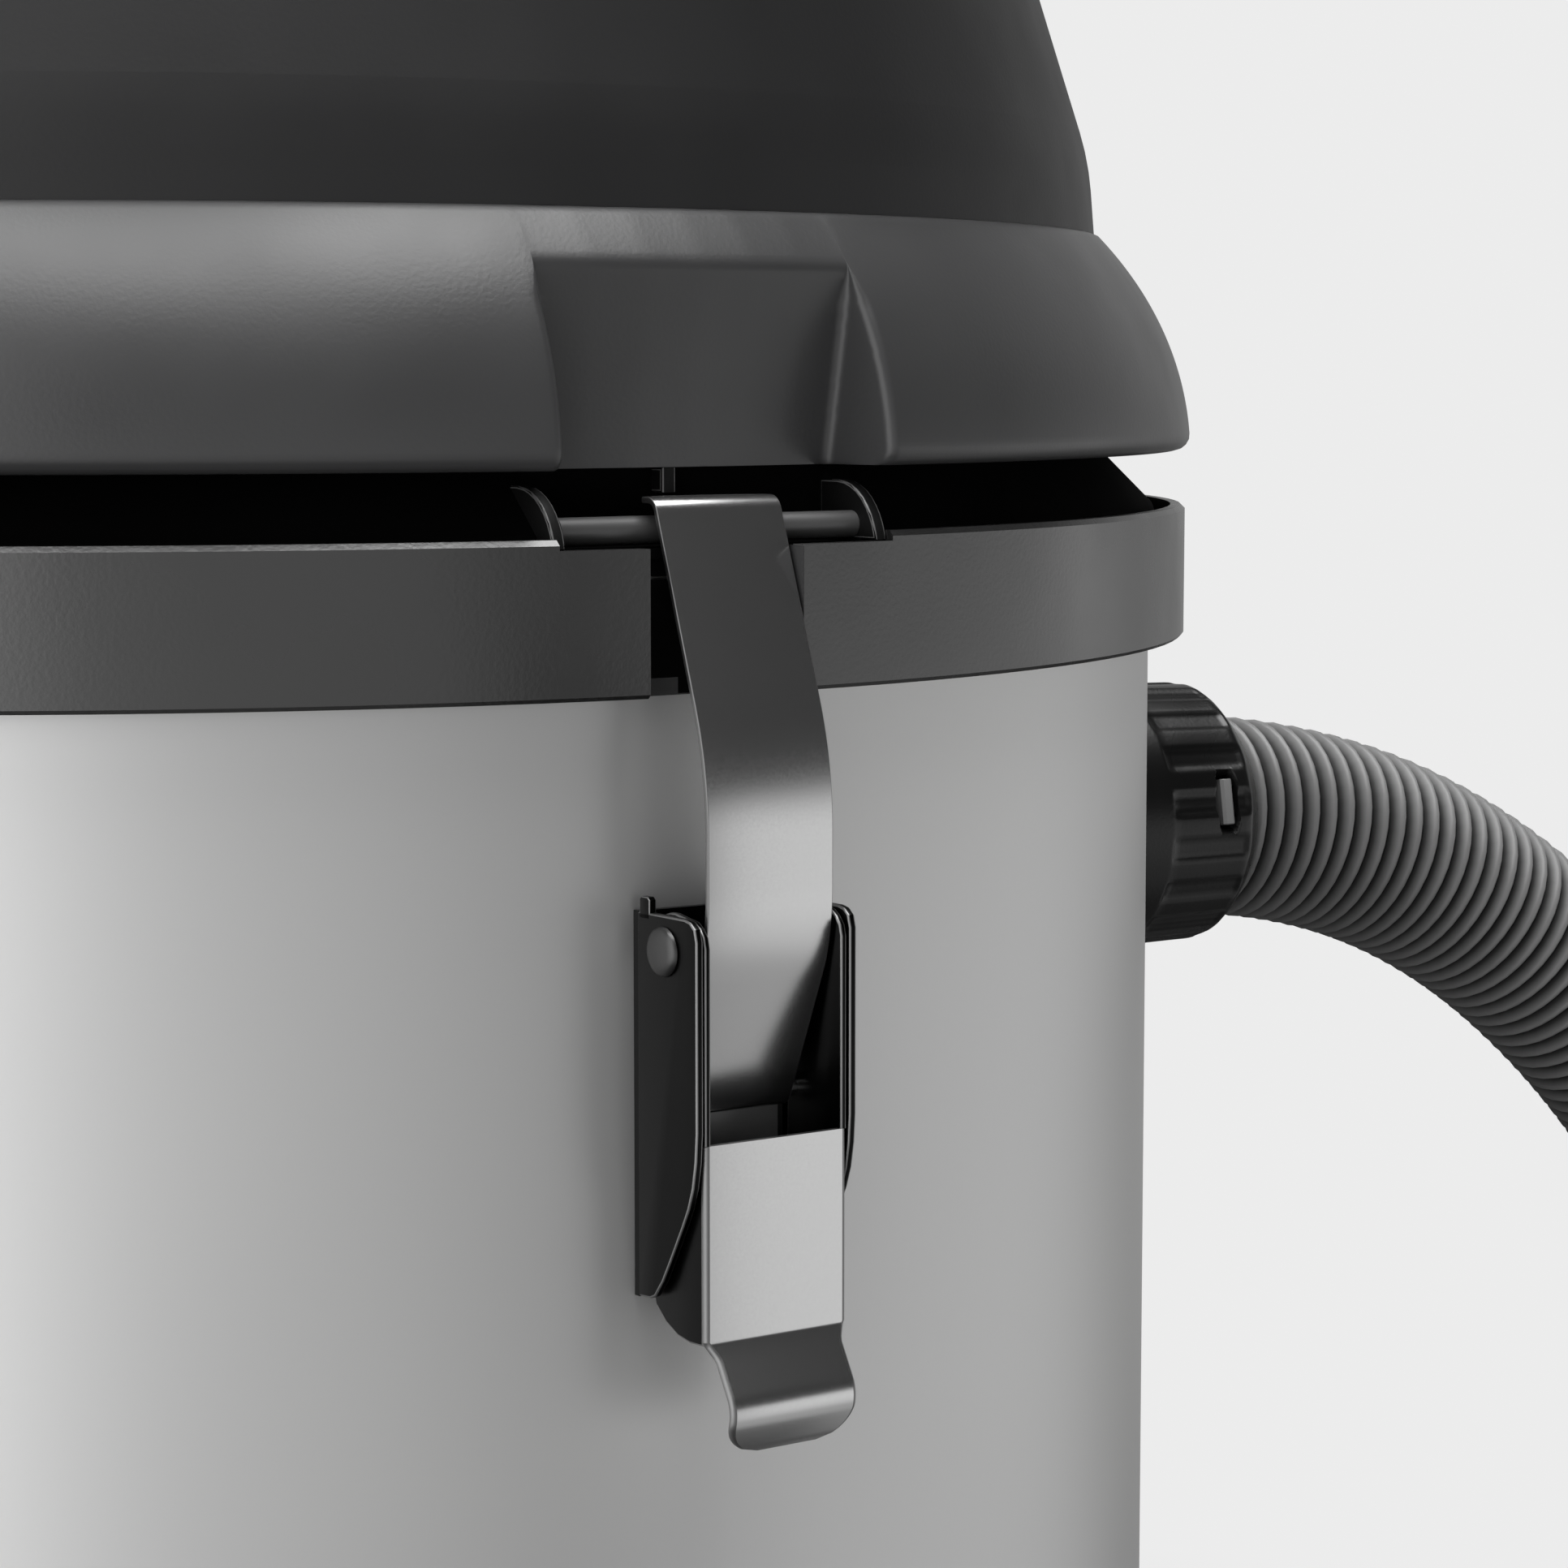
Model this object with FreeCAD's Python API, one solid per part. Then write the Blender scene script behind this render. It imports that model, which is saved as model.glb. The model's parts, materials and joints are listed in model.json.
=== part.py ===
import FreeCAD, Part

import math
import os

from FreeCAD import Vector

# A shop vacuum: steel drum on four casters, a motor head held down by two toggle latches, a suction hose.
# Millimetres. +Z is up, the floor is z = 0, and the drum's axis is the Z axis. The hose inlet faces -Y.

# Driving dimensions -------------------------------------------------------------------------------
DRUM_R = 180.0            # outside of the drum wall
SHEET = 1.0               # drum sheet and latch strap
DRUM_BOTTOM = 90.0
DRUM_TOP = 397.0
DRUM_LIP_R = 165.0         # inner edge of the wall where it turns in at the bottom
GAP = 0.3                 # between faces that move past each other
RUN = 0.05                # radial clearance of a running fit

BASE_R = 202.0            # bumper ring
BASE_TOP = 110.0
BASE_PLATE = 4.0
BASE_PLATE_R = 184.5

CASTER_RING = 150.0       # swivel axes from the drum's axis
CASTER_TRAIL = 18.0
WHEEL_R = 25.0
WHEEL_W = 18.0
AXLE_R = 3.0
STEM_R = 5.5
STEM_BOTTOM = 58.0
STEM_TOP = 84.0

BAND_R = 186.2
BAND_BOTTOM = 380.1
BAND_TOP = 402.7
BAND_SLOT = (-15.0, 11.3)    # sides of the slot that the strap passes through

SEAL_TOP = 399.5
COLLAR_TOP = 412.2
SKIRT_TOP = 449.3
HOOD_KINK = 461.9
HOOD_R = 170.0
HOOD_SHOULDER = 552.0
HOOD_TOP = 584.0
HOOD_TAPER = 17.4         # degrees from vertical
WALL = 3.0

POCKET_FACE = 172.4       # flat back of the pocket above each latch
POCKET_HALF = 27.0
NOTCH_FACE = 168.5        # recess in the collar behind the hook pin
NOTCH_FLOOR = 400.9
HOOK_PIN = (176.5, 403.5)
HOOK_PIN_R = 2.0

LATCH_AZIMUTHS = {"left": -83.0, "right": 83.0}   # degrees from the inlet
LEVER_PIVOT = (187.2, 344.4)      # distance from the drum's axis, height
STRAP_PIVOT = (183.3, 321.8)
LEVER_PIN_R = 2.0
STRAP_PIN_R = 1.25
STRAP_HALF = 10.9
STRAP_SHEET = 0.9
FLANGE_OUT = 12.4
BRACKET_OUT = 14.0
BRACKET_TOP = 349.5
BRACKET_BOTTOM = 293.6
RIVET_HEIGHTS = (303.0, 334.0)
RIVET_R = 2.0

INLET_Z = 335.0
SOCKET_R = 23.0
SPIGOT_R = 20.0
CONNECTOR_R = 27.1
CONNECTOR_START = 193.0
CONNECTOR_END = 229.6
HOSE_R = 20.7
HOSE_BORE = 17.0

DECK_TOP = 416.3
DECK_SCREW_RING = 162.5
HOOD_SCREW_RING = 156.5
GRILLE_Z = (498.0, 538.0)
GRILLE_HALF = 48.0
KNOB_Z = 520.0
GLAND_Z = 474.0
HANDLE_FEET = (-74.0, -60.0, 60.0, 74.0)
HANDLE_FOOT_Z = 566.0
HANDLE_TOP_Z = 618.0

FAN_R = 60.0
MOTOR_R = 52.0
SHAFT_R = 4.0
CAGE_BOTTOM = 262.0
CAGE_R = 58.0
FILTER_R = 75.0
FILTER_BORE = 59.0
STUD_R = 5.0

# Suction hose, from inside the connector down to the floor and round the base.
HOSE_ROUTE = [
    (0, -206, 335), (0, -252, 335), (0, -305, 318), (0, -351, 284), (1, -386, 234), (13, -404, 174),
    (42, -411, 115), (90, -411, 70), (151, -408, 40), (222, -386, 24.5), (285, -335, 21.2),
    (323, -262, 21.2), (334, -176, 21.2), (322, -86, 21.2), (292, 0, 21.2), (250, 76, 21.2),
    (192, 145, 21.2), (111, 203, 21.2), (17, 233, 21.2), (-82, 232, 21.2), (-171, 197, 21.2),
    (-235, 132, 21.5), (-265, 50, 23), (-265, -34, 23),
]
CUFF_LENGTH = 62.0
CUFF_OVERLAP = 25.0               # length of hose inside the cuff
CUFF_R = 22.7
HAND_TUBE_R = 17.5
HAND_TUBE_LENGTH = 190.0


# Helpers ------------------------------------------------------------------------------------------
def revolve(outline):
    """A solid of revolution about Z from (radius, height) points."""
    points = [Vector(r, 0, z) for r, z in outline]
    face = Part.Face(Part.makePolygon(points + points[:1]))
    return face.revolve(Vector(0, 0, 0), Vector(0, 0, 1), 360)


def ring(inner, outer, bottom, top):
    return revolve([(inner, bottom), (outer, bottom), (outer, top), (inner, top)])


def disc(radius, bottom, top):
    return Part.makeCylinder(radius, top - bottom, Vector(0, 0, bottom))


def box(x0, x1, y0, y1, z0, z1):
    return Part.makeBox(x1 - x0, y1 - y0, z1 - z0, Vector(x0, y0, z0))


def fuse(*shapes):
    return shapes[0].multiFuse(list(shapes[1:])).removeSplitter()


def edges_below(shape, height):
    return [edge for edge in shape.Edges if edge.BoundBox.ZMax < height]


def edges_above(shape, height):
    return [edge for edge in shape.Edges if edge.BoundBox.ZMin > height]


def bend(points, radii):
    """Straight runs through the points, each inner corner rounded by a tangent arc."""
    points = [Vector(*p) for p in points]
    edges = []
    start = points[0]
    for before, corner, after, radius in zip(points, points[1:], points[2:], radii):
        back = (before - corner).normalize()
        ahead = (after - corner).normalize()
        half = (math.pi - back.getAngle(ahead)) / 2
        reach = radius * math.tan(half)
        first = corner + back * reach
        last = corner + ahead * reach
        middle = corner + (back + ahead).normalize() * radius * (1 / math.cos(half) - 1)
        edges.append(Part.LineSegment(start, first).toShape())
        edges.append(Part.Arc(first, middle, last).toShape())
        start = last
    edges.append(Part.LineSegment(start, points[-1]).toShape())
    return edges


def offset_corners(points, radii, distance):
    """The corners and radii of a flat bent path, moved sideways by the distance to its left."""
    vectors = [Vector(*p) for p in points]
    runs = [(b - a).normalize() for a, b in zip(vectors, vectors[1:])]
    sides = [Vector(-d.z, 0, d.x) for d in runs]
    moved = [vectors[0] + sides[0] * distance]
    new_radii = []
    for i, radius in enumerate(radii):
        turn = runs[i].cross(runs[i + 1]).y
        middle = (sides[i] + sides[i + 1]).normalize()
        moved.append(vectors[i + 1] + middle * (distance / middle.dot(sides[i])))
        new_radii.append(radius + distance * (1 if turn > 0 else -1))
    moved.append(vectors[-1] + sides[-1] * distance)
    return moved, new_radii


def strip(corners, radii, thickness, half_width):
    """Bent sheet: a path of (distance, height) corners, thickened and extruded across."""
    points = [(n, 0, z) for n, z in corners]
    left, left_radii = offset_corners(points, radii, thickness / 2)
    right, right_radii = offset_corners(points, radii, -thickness / 2)
    edges = bend(left, left_radii) + bend(right, right_radii)
    edges.append(Part.LineSegment(left[0], right[0]).toShape())
    edges.append(Part.LineSegment(left[-1], right[-1]).toShape())
    face = Part.Face(Part.Wire(Part.sortEdges(edges)[0]))
    face.translate(Vector(0, -half_width, 0))
    return face.extrude(Vector(0, 2 * half_width, 0))


def plate(corners, y0, y1):
    """A flat plate from (distance, height) corners, between two planes across the latch."""
    points = [Vector(n, y0, z) for n, z in corners]
    face = Part.Face(Part.makePolygon(points + points[:1]))
    return face.extrude(Vector(0, y1 - y0, 0))


def pin(centre, radius, half_length):
    """A cylinder across the latch, centred on it."""
    start = Vector(centre[0], -half_length, centre[1])
    return Part.makeCylinder(radius, 2 * half_length, start, Vector(0, 1, 0))


def turned(shape, azimuth):
    """Turns a shape built facing +X so that it faces the given azimuth, measured from -Y towards +X."""
    copy = shape.copy()
    copy.rotate(Vector(0, 0, 0), Vector(0, 0, 1), azimuth - 90)
    return copy


def at_both_latches(shape):
    return [turned(shape, azimuth) for azimuth in LATCH_AZIMUTHS.values()]


def round_the_axis(shape, count, start=0.0):
    copies = []
    for i in range(count):
        copy = shape.copy()
        copy.rotate(Vector(0, 0, 0), Vector(0, 0, 1), start + 360.0 * i / count)
        copies.append(copy)
    return copies


def along_y(radius, y0, y1, z=INLET_Z):
    return Part.makeCylinder(radius, y1 - y0, Vector(0, y0, z), Vector(0, 1, 0))


def along_x(radius, x0, x1, z):
    return Part.makeCylinder(radius, x1 - x0, Vector(x0, 0, z), Vector(1, 0, 0))


# Drum, band and base ------------------------------------------------------------------------------
def rivet_holes():
    return [along_x(RIVET_R, DRUM_R - 10, DRUM_R + 10, z) for z in RIVET_HEIGHTS]


def drum():
    """Rolled wall with a rounded bottom corner, turned in to carry the bottom plate."""
    corner = 12.0
    outside = disc(DRUM_R, DRUM_BOTTOM, DRUM_TOP)
    outside = outside.makeFillet(corner, edges_below(outside, DRUM_BOTTOM + 1))
    inside = disc(DRUM_R - SHEET, DRUM_BOTTOM + SHEET, DRUM_TOP - SHEET)
    inside = inside.makeFillet(corner - SHEET, edges_below(inside, DRUM_BOTTOM + 3))
    mouth = disc(DRUM_R - 5, DRUM_TOP - 10, DRUM_TOP + 1)
    floor_opening = disc(DRUM_LIP_R, DRUM_BOTTOM - 1, DRUM_BOTTOM + 3)
    inlet = along_y(SOCKET_R + 0.1, -DRUM_R - 10, -DRUM_R + 20)
    holes = [turned(hole, azimuth) for hole in rivet_holes() for azimuth in LATCH_AZIMUTHS.values()]
    return outside.cut(inside).cut([mouth, floor_opening, inlet] + holes)


def drum_bottom():
    bottom = DRUM_BOTTOM + SHEET + 0.02
    screw_holes = [Part.makeCylinder(2.5, 6, Vector(x, y, DRUM_BOTTOM - 2)) for x, y in base_screw_places()]
    return disc(DRUM_LIP_R + 3.5, bottom, bottom + SHEET).cut(screw_holes)


def rim_band():
    inner = DRUM_R + RUN
    outline = [
        (inner, BAND_BOTTOM), (BAND_R - 0.6, BAND_BOTTOM), (BAND_R, BAND_BOTTOM + 0.6),
        (BAND_R, BAND_TOP - 0.8), (BAND_R - 0.8, BAND_TOP), (BAND_R - 2.5, BAND_TOP),
        (BAND_R - 2.5, BAND_BOTTOM + 2.5), (inner + 1.0, BAND_BOTTOM + 2.5), (inner + 1.0, DRUM_TOP - GAP),
        (inner, DRUM_TOP - GAP),
    ]
    slot = box(inner + 1.0, BAND_R + 5, BAND_SLOT[0], BAND_SLOT[1], BAND_BOTTOM - 5, BAND_TOP + 5)
    recess = box(inner + 1.0, BAND_R + 5, -POCKET_HALF - 2, POCKET_HALF + 2, BAND_TOP - 1.5, BAND_TOP + 5)
    return revolve(outline).cut(at_both_latches(slot) + at_both_latches(recess))


def base_screw_places():
    return [(100 * math.cos(a), 100 * math.sin(a)) for a in (0, math.pi / 2, math.pi, 3 * math.pi / 2)]


def caster_places():
    reach = CASTER_RING / math.sqrt(2)
    return {
        "front_left": (-reach, -reach), "front_right": (reach, -reach),
        "rear_left": (-reach, reach), "rear_right": (reach, reach),
    }


def bumper_ring():
    """Soft-edged ring round the foot of the drum. It stands on the base plate and hides the casters' tops."""
    foot = DRUM_BOTTOM
    lip = 64
    outline = [
        (DRUM_R + GAP, foot), (DRUM_R + GAP, BASE_TOP), (DRUM_R + 5, BASE_TOP + 2),
        (BASE_R - 5, BASE_TOP - 7), (BASE_R, BASE_TOP - 20), (BASE_R, lip + 2), (BASE_R - 1, lip),
        (BASE_R - 4, lip), (BASE_R - 4, foot - 2), (BASE_R - 9, BASE_TOP - 12),
        (BASE_PLATE_R, BASE_TOP - 4), (BASE_PLATE_R, foot),
    ]
    return revolve(outline)


def base_plate():
    """Flat ring under the drum, with a socket for each caster and ribs between them."""
    plate_bottom = DRUM_BOTTOM - BASE_PLATE
    socket_bottom = STEM_BOTTOM + 3
    sockets = []
    bores = [Part.makeCylinder(2.0, 20, Vector(x, y, 80)) for x, y in base_screw_places()]
    for x, y in caster_places().values():
        sockets.append(Part.makeCylinder(11, plate_bottom + 1 - socket_bottom, Vector(x, y, socket_bottom)))
        bores.append(Part.makeCylinder(STEM_R + RUN, STEM_TOP + 0.5 - STEM_BOTTOM, Vector(x, y, STEM_BOTTOM)))
    ribs = round_the_axis(box(62, DRUM_R + 2, -1.5, 1.5, 74, plate_bottom + 1), 8, 22.5)
    return fuse(ring(60, BASE_PLATE_R, plate_bottom, DRUM_BOTTOM), *(sockets + ribs)).cut(bores)


def base_screws():
    screws = []
    for x, y in base_screw_places():
        head = Part.makeCylinder(4.5, 3, Vector(x, y, DRUM_BOTTOM - BASE_PLATE - 3))
        shank = Part.makeCylinder(2.0, BASE_PLATE + 5, Vector(x, y, DRUM_BOTTOM - BASE_PLATE))
        screws.append(head.fuse(shank))
    return Part.makeCompound(screws)


# Casters ------------------------------------------------------------------------------------------
def caster_fork(x, y):
    """Swivel stem, crown and two arms that hold the wheel behind the stem."""
    axle = Vector(x, y + CASTER_TRAIL, WHEEL_R)
    arm_in = WHEEL_W / 2 + 1.0
    arm_out = arm_in + 3.0
    crown_bottom = STEM_BOTTOM - 5
    outline = [
        (-11, STEM_BOTTOM), (-11, crown_bottom), (10, WHEEL_R - 2), (14, WHEEL_R - 7.5),
        (22, WHEEL_R - 7.5), (26, WHEEL_R - 2), (29, crown_bottom), (25, STEM_BOTTOM),
    ]
    points = [Vector(0, dy, z) for dy, z in outline]
    arm = Part.Face(Part.makePolygon(points + points[:1])).extrude(Vector(2 * arm_out, 0, 0))
    arm.translate(Vector(x - arm_out, y, 0))
    wheel_room = box(x - arm_in, x + arm_in, y - 30, y + 60, 0, crown_bottom)
    crown = Part.makeCylinder(15, 2.5, Vector(x, y, STEM_BOTTOM))
    stem = Part.makeCylinder(STEM_R, STEM_TOP - STEM_BOTTOM, Vector(x, y, STEM_BOTTOM))
    hole = Part.makeCylinder(AXLE_R, 60, axle - Vector(30, 0, 0), Vector(1, 0, 0))
    return fuse(arm.cut(wheel_room), crown, stem).cut(hole)


def caster_axle(x, y):
    half = WHEEL_W / 2 + 4.0
    centre = Vector(x, y + CASTER_TRAIL, WHEEL_R)
    shank = Part.makeCylinder(AXLE_R, 2 * half, centre - Vector(half, 0, 0), Vector(1, 0, 0))
    heads = []
    for offset in (-half - 1.5, half):
        heads.append(Part.makeCylinder(5.0, 1.5, centre + Vector(offset, 0, 0), Vector(1, 0, 0)))
    return fuse(shank, *heads)


def caster_wheel(x, y):
    half = WHEEL_W / 2
    upper = [
        (WHEEL_R, half - 4), (WHEEL_R - 2, half - 1), (WHEEL_R - 6.5, half - 1), (WHEEL_R - 8, half - 4),
        (9.5, half - 4), (8, half), (AXLE_R + RUN, half),
    ]
    lower = [(r, -z) for r, z in reversed(upper)]
    wheel = revolve(lower + upper)
    wheel.rotate(Vector(0, 0, 0), Vector(0, 1, 0), 90)
    wheel.translate(Vector(x, y + CASTER_TRAIL, WHEEL_R))
    return wheel


# Latches, built facing +X and then turned to their azimuths -------------------------------------------
def latch_bracket():
    """Riveted channel that carries the lever."""
    top, bottom = BRACKET_TOP, BRACKET_BOTTOM
    skin = ring(DRUM_R + 0.02, DRUM_R + 1.2, bottom, top)
    base = skin.common(box(100, 220, -BRACKET_OUT, BRACKET_OUT, bottom, top))
    window = box(100, 220, -11.2, 11.2, 314, 329)
    cheek_outline = [
        (178.9, top), (192.4, top), (194.4, top - 0.8), (195.2, top - 3), (195.2, 319.4), (194.2, 312),
        (191.7, 306), (188.4, 299.5), (184.4, 294.0), (178.9, bottom),
    ]
    cheeks = [
        plate(cheek_outline, -BRACKET_OUT, -BRACKET_OUT + 1.2),
        plate(cheek_outline, BRACKET_OUT - 1.2, BRACKET_OUT),
    ]
    lugs = [box(181, 183.5, side - 0.6, side + 0.6, top - 1, top + 2.2) for side in (-13.4, 13.4)]
    body = fuse(base.cut(window), *(cheeks + lugs)).cut(disc(DRUM_R + 0.02, bottom - 5, top + 5))
    return body.cut([pin(LEVER_PIVOT, LEVER_PIN_R, 30)] + rivet_holes())


def bracket_rivets():
    rivets = []
    head_r = 3.6
    for z in RIVET_HEIGHTS:
        shank = along_x(RIVET_R, DRUM_R - 2.3, DRUM_R + 1.2, z)
        head = along_x(head_r, DRUM_R + 1.2, DRUM_R + 2.2, z)
        inside = along_x(head_r, DRUM_R - SHEET - 1.3, DRUM_R - SHEET - 0.1, z)
        rivets.append(fuse(shank, head, inside))
    return rivets


def lever_pin():
    shank = pin(LEVER_PIVOT, LEVER_PIN_R, BRACKET_OUT)
    heads = []
    for side in (-1, 1):
        start = Vector(LEVER_PIVOT[0], side * BRACKET_OUT, LEVER_PIVOT[1])
        heads.append(Part.makeCone(3.4, 2.2, 1.1, start, Vector(0, side, 0)))
    return fuse(shank, *heads)


def latch_lever():
    """Folded lever: two cheeks round the pivot, a web between them and a tab to pull."""
    n1, z1 = LEVER_PIVOT
    tab_bottom = 273.4
    outline = [(n1 - 5.2, z1 - 2)]
    outline += [(n1 + 5.4 * math.cos(a), z1 + 5.4 * math.sin(a)) for a in (3.0, 2.6, 2.2, 1.8)]
    outline += [
        (193.2, z1 + 4.2), (195.0, z1 + 1.8), (195.0, 288.6), (188.0, 289.0), (182.4, 292.6), (181.5, 296.0),
    ]
    cheeks = [
        plate(outline, -FLANGE_OUT, -FLANGE_OUT + 1.0),
        plate(outline, FLANGE_OUT - 1.0, FLANGE_OUT),
    ]
    web_path = [(194.5, 317.4), (194.5, 288.8), (199.8, 279.6), (197.0, tab_bottom)]
    web = strip(web_path, [2.0, 5.0], SHEET, FLANGE_OUT)
    low_edges = edges_below(web, tab_bottom + 0.7)
    tip_edges = [edge for edge in low_edges if abs(edge.Length - SHEET) < 0.01]
    web = web.makeFillet(4.5, tip_edges)
    tab_half = 11.0
    tab_sides = [
        box(190, 210, -FLANGE_OUT - 1, -tab_half, 260, 287.6),
        box(190, 210, tab_half, FLANGE_OUT + 1, 260, 287.6),
    ]
    body = fuse(web.cut(tab_sides), *cheeks)
    return body.cut([pin(LEVER_PIVOT, LEVER_PIN_R + RUN, 30), pin(STRAP_PIVOT, STRAP_PIN_R, 30)])


def strap_pin():
    return pin(STRAP_PIVOT, STRAP_PIN_R, FLANGE_OUT)


def latch_strap():
    """Bent strap: an eye round its pin, a long flat and a short hook over the rod."""
    n2, z2 = STRAP_PIVOT
    lean = math.radians(27.4)
    eye_bore = STRAP_PIN_R + RUN
    curl_r = eye_bore + STRAP_SHEET / 2
    tail = (n2 + curl_r * math.cos(lean), z2 - curl_r * math.sin(lean))
    flat = 193.25
    knee_z = tail[1] + (flat - tail[0]) / math.tan(lean)
    hook_top = 407.75
    path = [
        (173.8, hook_top - 1.35), (173.8, hook_top), (180.15, hook_top), (flat, 370.3), (flat, knee_z), tail,
    ]
    band = strip(path, [0.9, 2.2, 55.0, 26.0], STRAP_SHEET, STRAP_HALF)
    eye = pin(STRAP_PIVOT, eye_bore + STRAP_SHEET, STRAP_HALF)
    taper = []
    for side in (-1, 1):
        points = [
            Vector(160, side * STRAP_HALF, 342), Vector(160, side * 9.2, 318), Vector(160, side * 14, 318),
            Vector(160, side * 14, 342),
        ]
        taper.append(Part.Face(Part.makePolygon(points + points[:1])).extrude(Vector(50, 0, 0)))
    return fuse(band, eye).cut(taper + [pin(STRAP_PIVOT, eye_bore, STRAP_HALF + 1)])


# Head ---------------------------------------------------------------------------------------------
def pocket_tool(margin):
    """The drafted pocket above a latch, grown by a wall's thickness on its back and sides."""
    half_back = POCKET_HALF + margin
    half_front = POCKET_HALF + 2.4 + margin
    back = POCKET_FACE - margin
    floor = COLLAR_TOP - 7.2
    points = [
        Vector(back, -half_back, floor), Vector(200, -half_front, floor), Vector(200, half_front, floor),
        Vector(back, half_back, floor),
    ]
    return Part.Face(Part.makePolygon(points + points[:1])).extrude(Vector(0, 0, SKIRT_TOP + 5 - floor))


def skirt():
    """Bulging ring between hood and drum, with a pocket above each latch."""
    top_r, belly_r = 170.4, 186.9
    shoulder = [
        (top_r, SKIRT_TOP), (172.6, 447.2), (176.4, 442.2), (180.1, 436.6), (183.0, 430.9), (185.2, 424.2),
        (186.6, 417.6), (belly_r, 414.6),
    ]
    curve = Part.BSplineCurve()
    curve.interpolate([Vector(r, 0, z) for r, z in shoulder])
    corner = bend([(belly_r, 0, 414.6), (belly_r - 0.2, 0, COLLAR_TOP), (180, 0, COLLAR_TOP)], [1.8])
    rest = Part.makePolygon([
        Vector(180, 0, COLLAR_TOP), Vector(150, 0, COLLAR_TOP), Vector(150, 0, SKIRT_TOP),
        Vector(top_r, 0, SKIRT_TOP),
    ])
    outline = Part.Wire([curve.toShape()] + corner + rest.Edges)
    outside = Part.Face(outline).revolve(Vector(0, 0, 0), Vector(0, 0, 1), 360)
    hollow = revolve([
        (149, COLLAR_TOP - 1), (183.6, COLLAR_TOP - 1), (183.6, 417.5), (182.2, 423.6), (179.9, 430.0),
        (177.2, 435.2), (173.6, 440.6), (169.4, SKIRT_TOP - WALL), (149, SKIRT_TOP - WALL),
    ])
    walls = at_both_latches(pocket_tool(WALL - 0.5))
    screw_holes = [Part.makeCylinder(2.1, 10, Vector(x, y, SKIRT_TOP - 6)) for x, y in hood_screw_places()]
    return outside.cut(hollow.cut(walls)).cut(at_both_latches(pocket_tool(0.0)) + screw_holes)


def hood_screw_places():
    reach = HOOD_SCREW_RING / math.sqrt(2)
    return [(sx * reach, sy * reach) for sx in (-1, 1) for sy in (-1, 1)]


def hood_radius(z):
    """Outside of the cone above the kink."""
    return HOOD_R - 1.0 - (z - HOOD_KINK) * math.tan(math.radians(HOOD_TAPER))


def hood_profile(inset):
    """The hood's solid of revolution, made smaller all over by the inset."""
    shoulder_r = hood_radius(HOOD_SHOULDER) - inset
    top = HOOD_TOP - inset
    edges = bend(
        [
            (HOOD_R - inset, 0, SKIRT_TOP), (hood_radius(HOOD_KINK) - inset, 0, HOOD_KINK),
            (shoulder_r, 0, HOOD_SHOULDER), (shoulder_r - 36, 0, top - 5), (0, 0, top),
        ],
        [45.0, 42.0 - inset / 2, 60.0],
    )
    rim = Vector(HOOD_R - inset, 0, SKIRT_TOP)
    axis = Part.makePolygon([Vector(0, 0, top), Vector(0, 0, SKIRT_TOP), rim])
    face = Part.Face(Part.Wire(edges + axis.Edges))
    return face.revolve(Vector(0, 0, 0), Vector(0, 0, 1), 360)


def grille_window(margin):
    half = GRILLE_HALF + margin
    return box(-half, half, 100, 200, GRILLE_Z[0] - margin, GRILLE_Z[1] + margin)


def knob_frame(shape):
    """Moves a shape built round +Z at the origin onto the front of the hood, square to its slope."""
    placed = shape.copy()
    placed.rotate(Vector(0, 0, 0), Vector(1, 0, 0), 90 - HOOD_TAPER)
    placed.translate(Vector(0, -hood_radius(KNOB_Z), KNOB_Z))
    return placed


def hood():
    shell = hood_profile(0.0).cut(hood_profile(WALL))
    bosses = [Part.makeCylinder(6, 24, Vector(x, y, SKIRT_TOP)) for x, y in hood_screw_places()]
    holes = [Part.makeCylinder(2.0, 14, Vector(x, y, SKIRT_TOP - 1)) for x, y in hood_screw_places()]
    seat = knob_frame(Part.makeCylinder(27, 12, Vector(0, 0, -9)))
    seat_bore = knob_frame(Part.makeCylinder(8, 30, Vector(0, 0, -20)))
    gland_hole = along_y(7.5, 150, 180, GLAND_Z)
    handle_holes = [Part.makeCylinder(2.2, 60, Vector(x, 0, 540)) for x in HANDLE_FEET]
    body = fuse(shell, seat, *[boss.common(hood_profile(0.5)) for boss in bosses])
    return body.cut(holes + handle_holes + [seat_bore, gland_hole, grille_window(0.0)])


def exhaust_grille():
    shell = hood_profile(0.4).cut(hood_profile(WALL - 0.4)).common(grille_window(-0.1))
    slot_length, slot_height = 25.0, 3.8
    slots = []
    for row in range(5):
        z = GRILLE_Z[0] + 4.5 + 6.8 * row
        for column in range(3):
            x = -GRILLE_HALF + 5.5 + 30 * column
            slots.append(box(x, x + slot_length, 90, 200, z, z + slot_height))
    return shell.cut(slots)


def switch_knob():
    """Round dial with a grip round its edge and a raised pointer, on a short shaft."""
    seat_top = 3.0 + GAP
    dial = Part.makeCylinder(20, 13, Vector(0, 0, seat_top))
    dial = dial.makeFillet(2.0, edges_above(dial, seat_top + 7))
    grooves = []
    for i in range(18):
        groove = Part.makeCylinder(1.3, 9, Vector(20.6, 0, 5.5))
        groove.rotate(Vector(0, 0, 0), Vector(0, 0, 1), 20 * i)
        grooves.append(groove)
    shaft = Part.makeCylinder(3.0, 21, Vector(0, 0, -14.5))
    pointer = Part.makeBox(2.4, 15, 1.2, Vector(-1.2, 2, seat_top + 13 - 0.01))
    return knob_frame(fuse(dial.cut(grooves), shaft, pointer))


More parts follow.
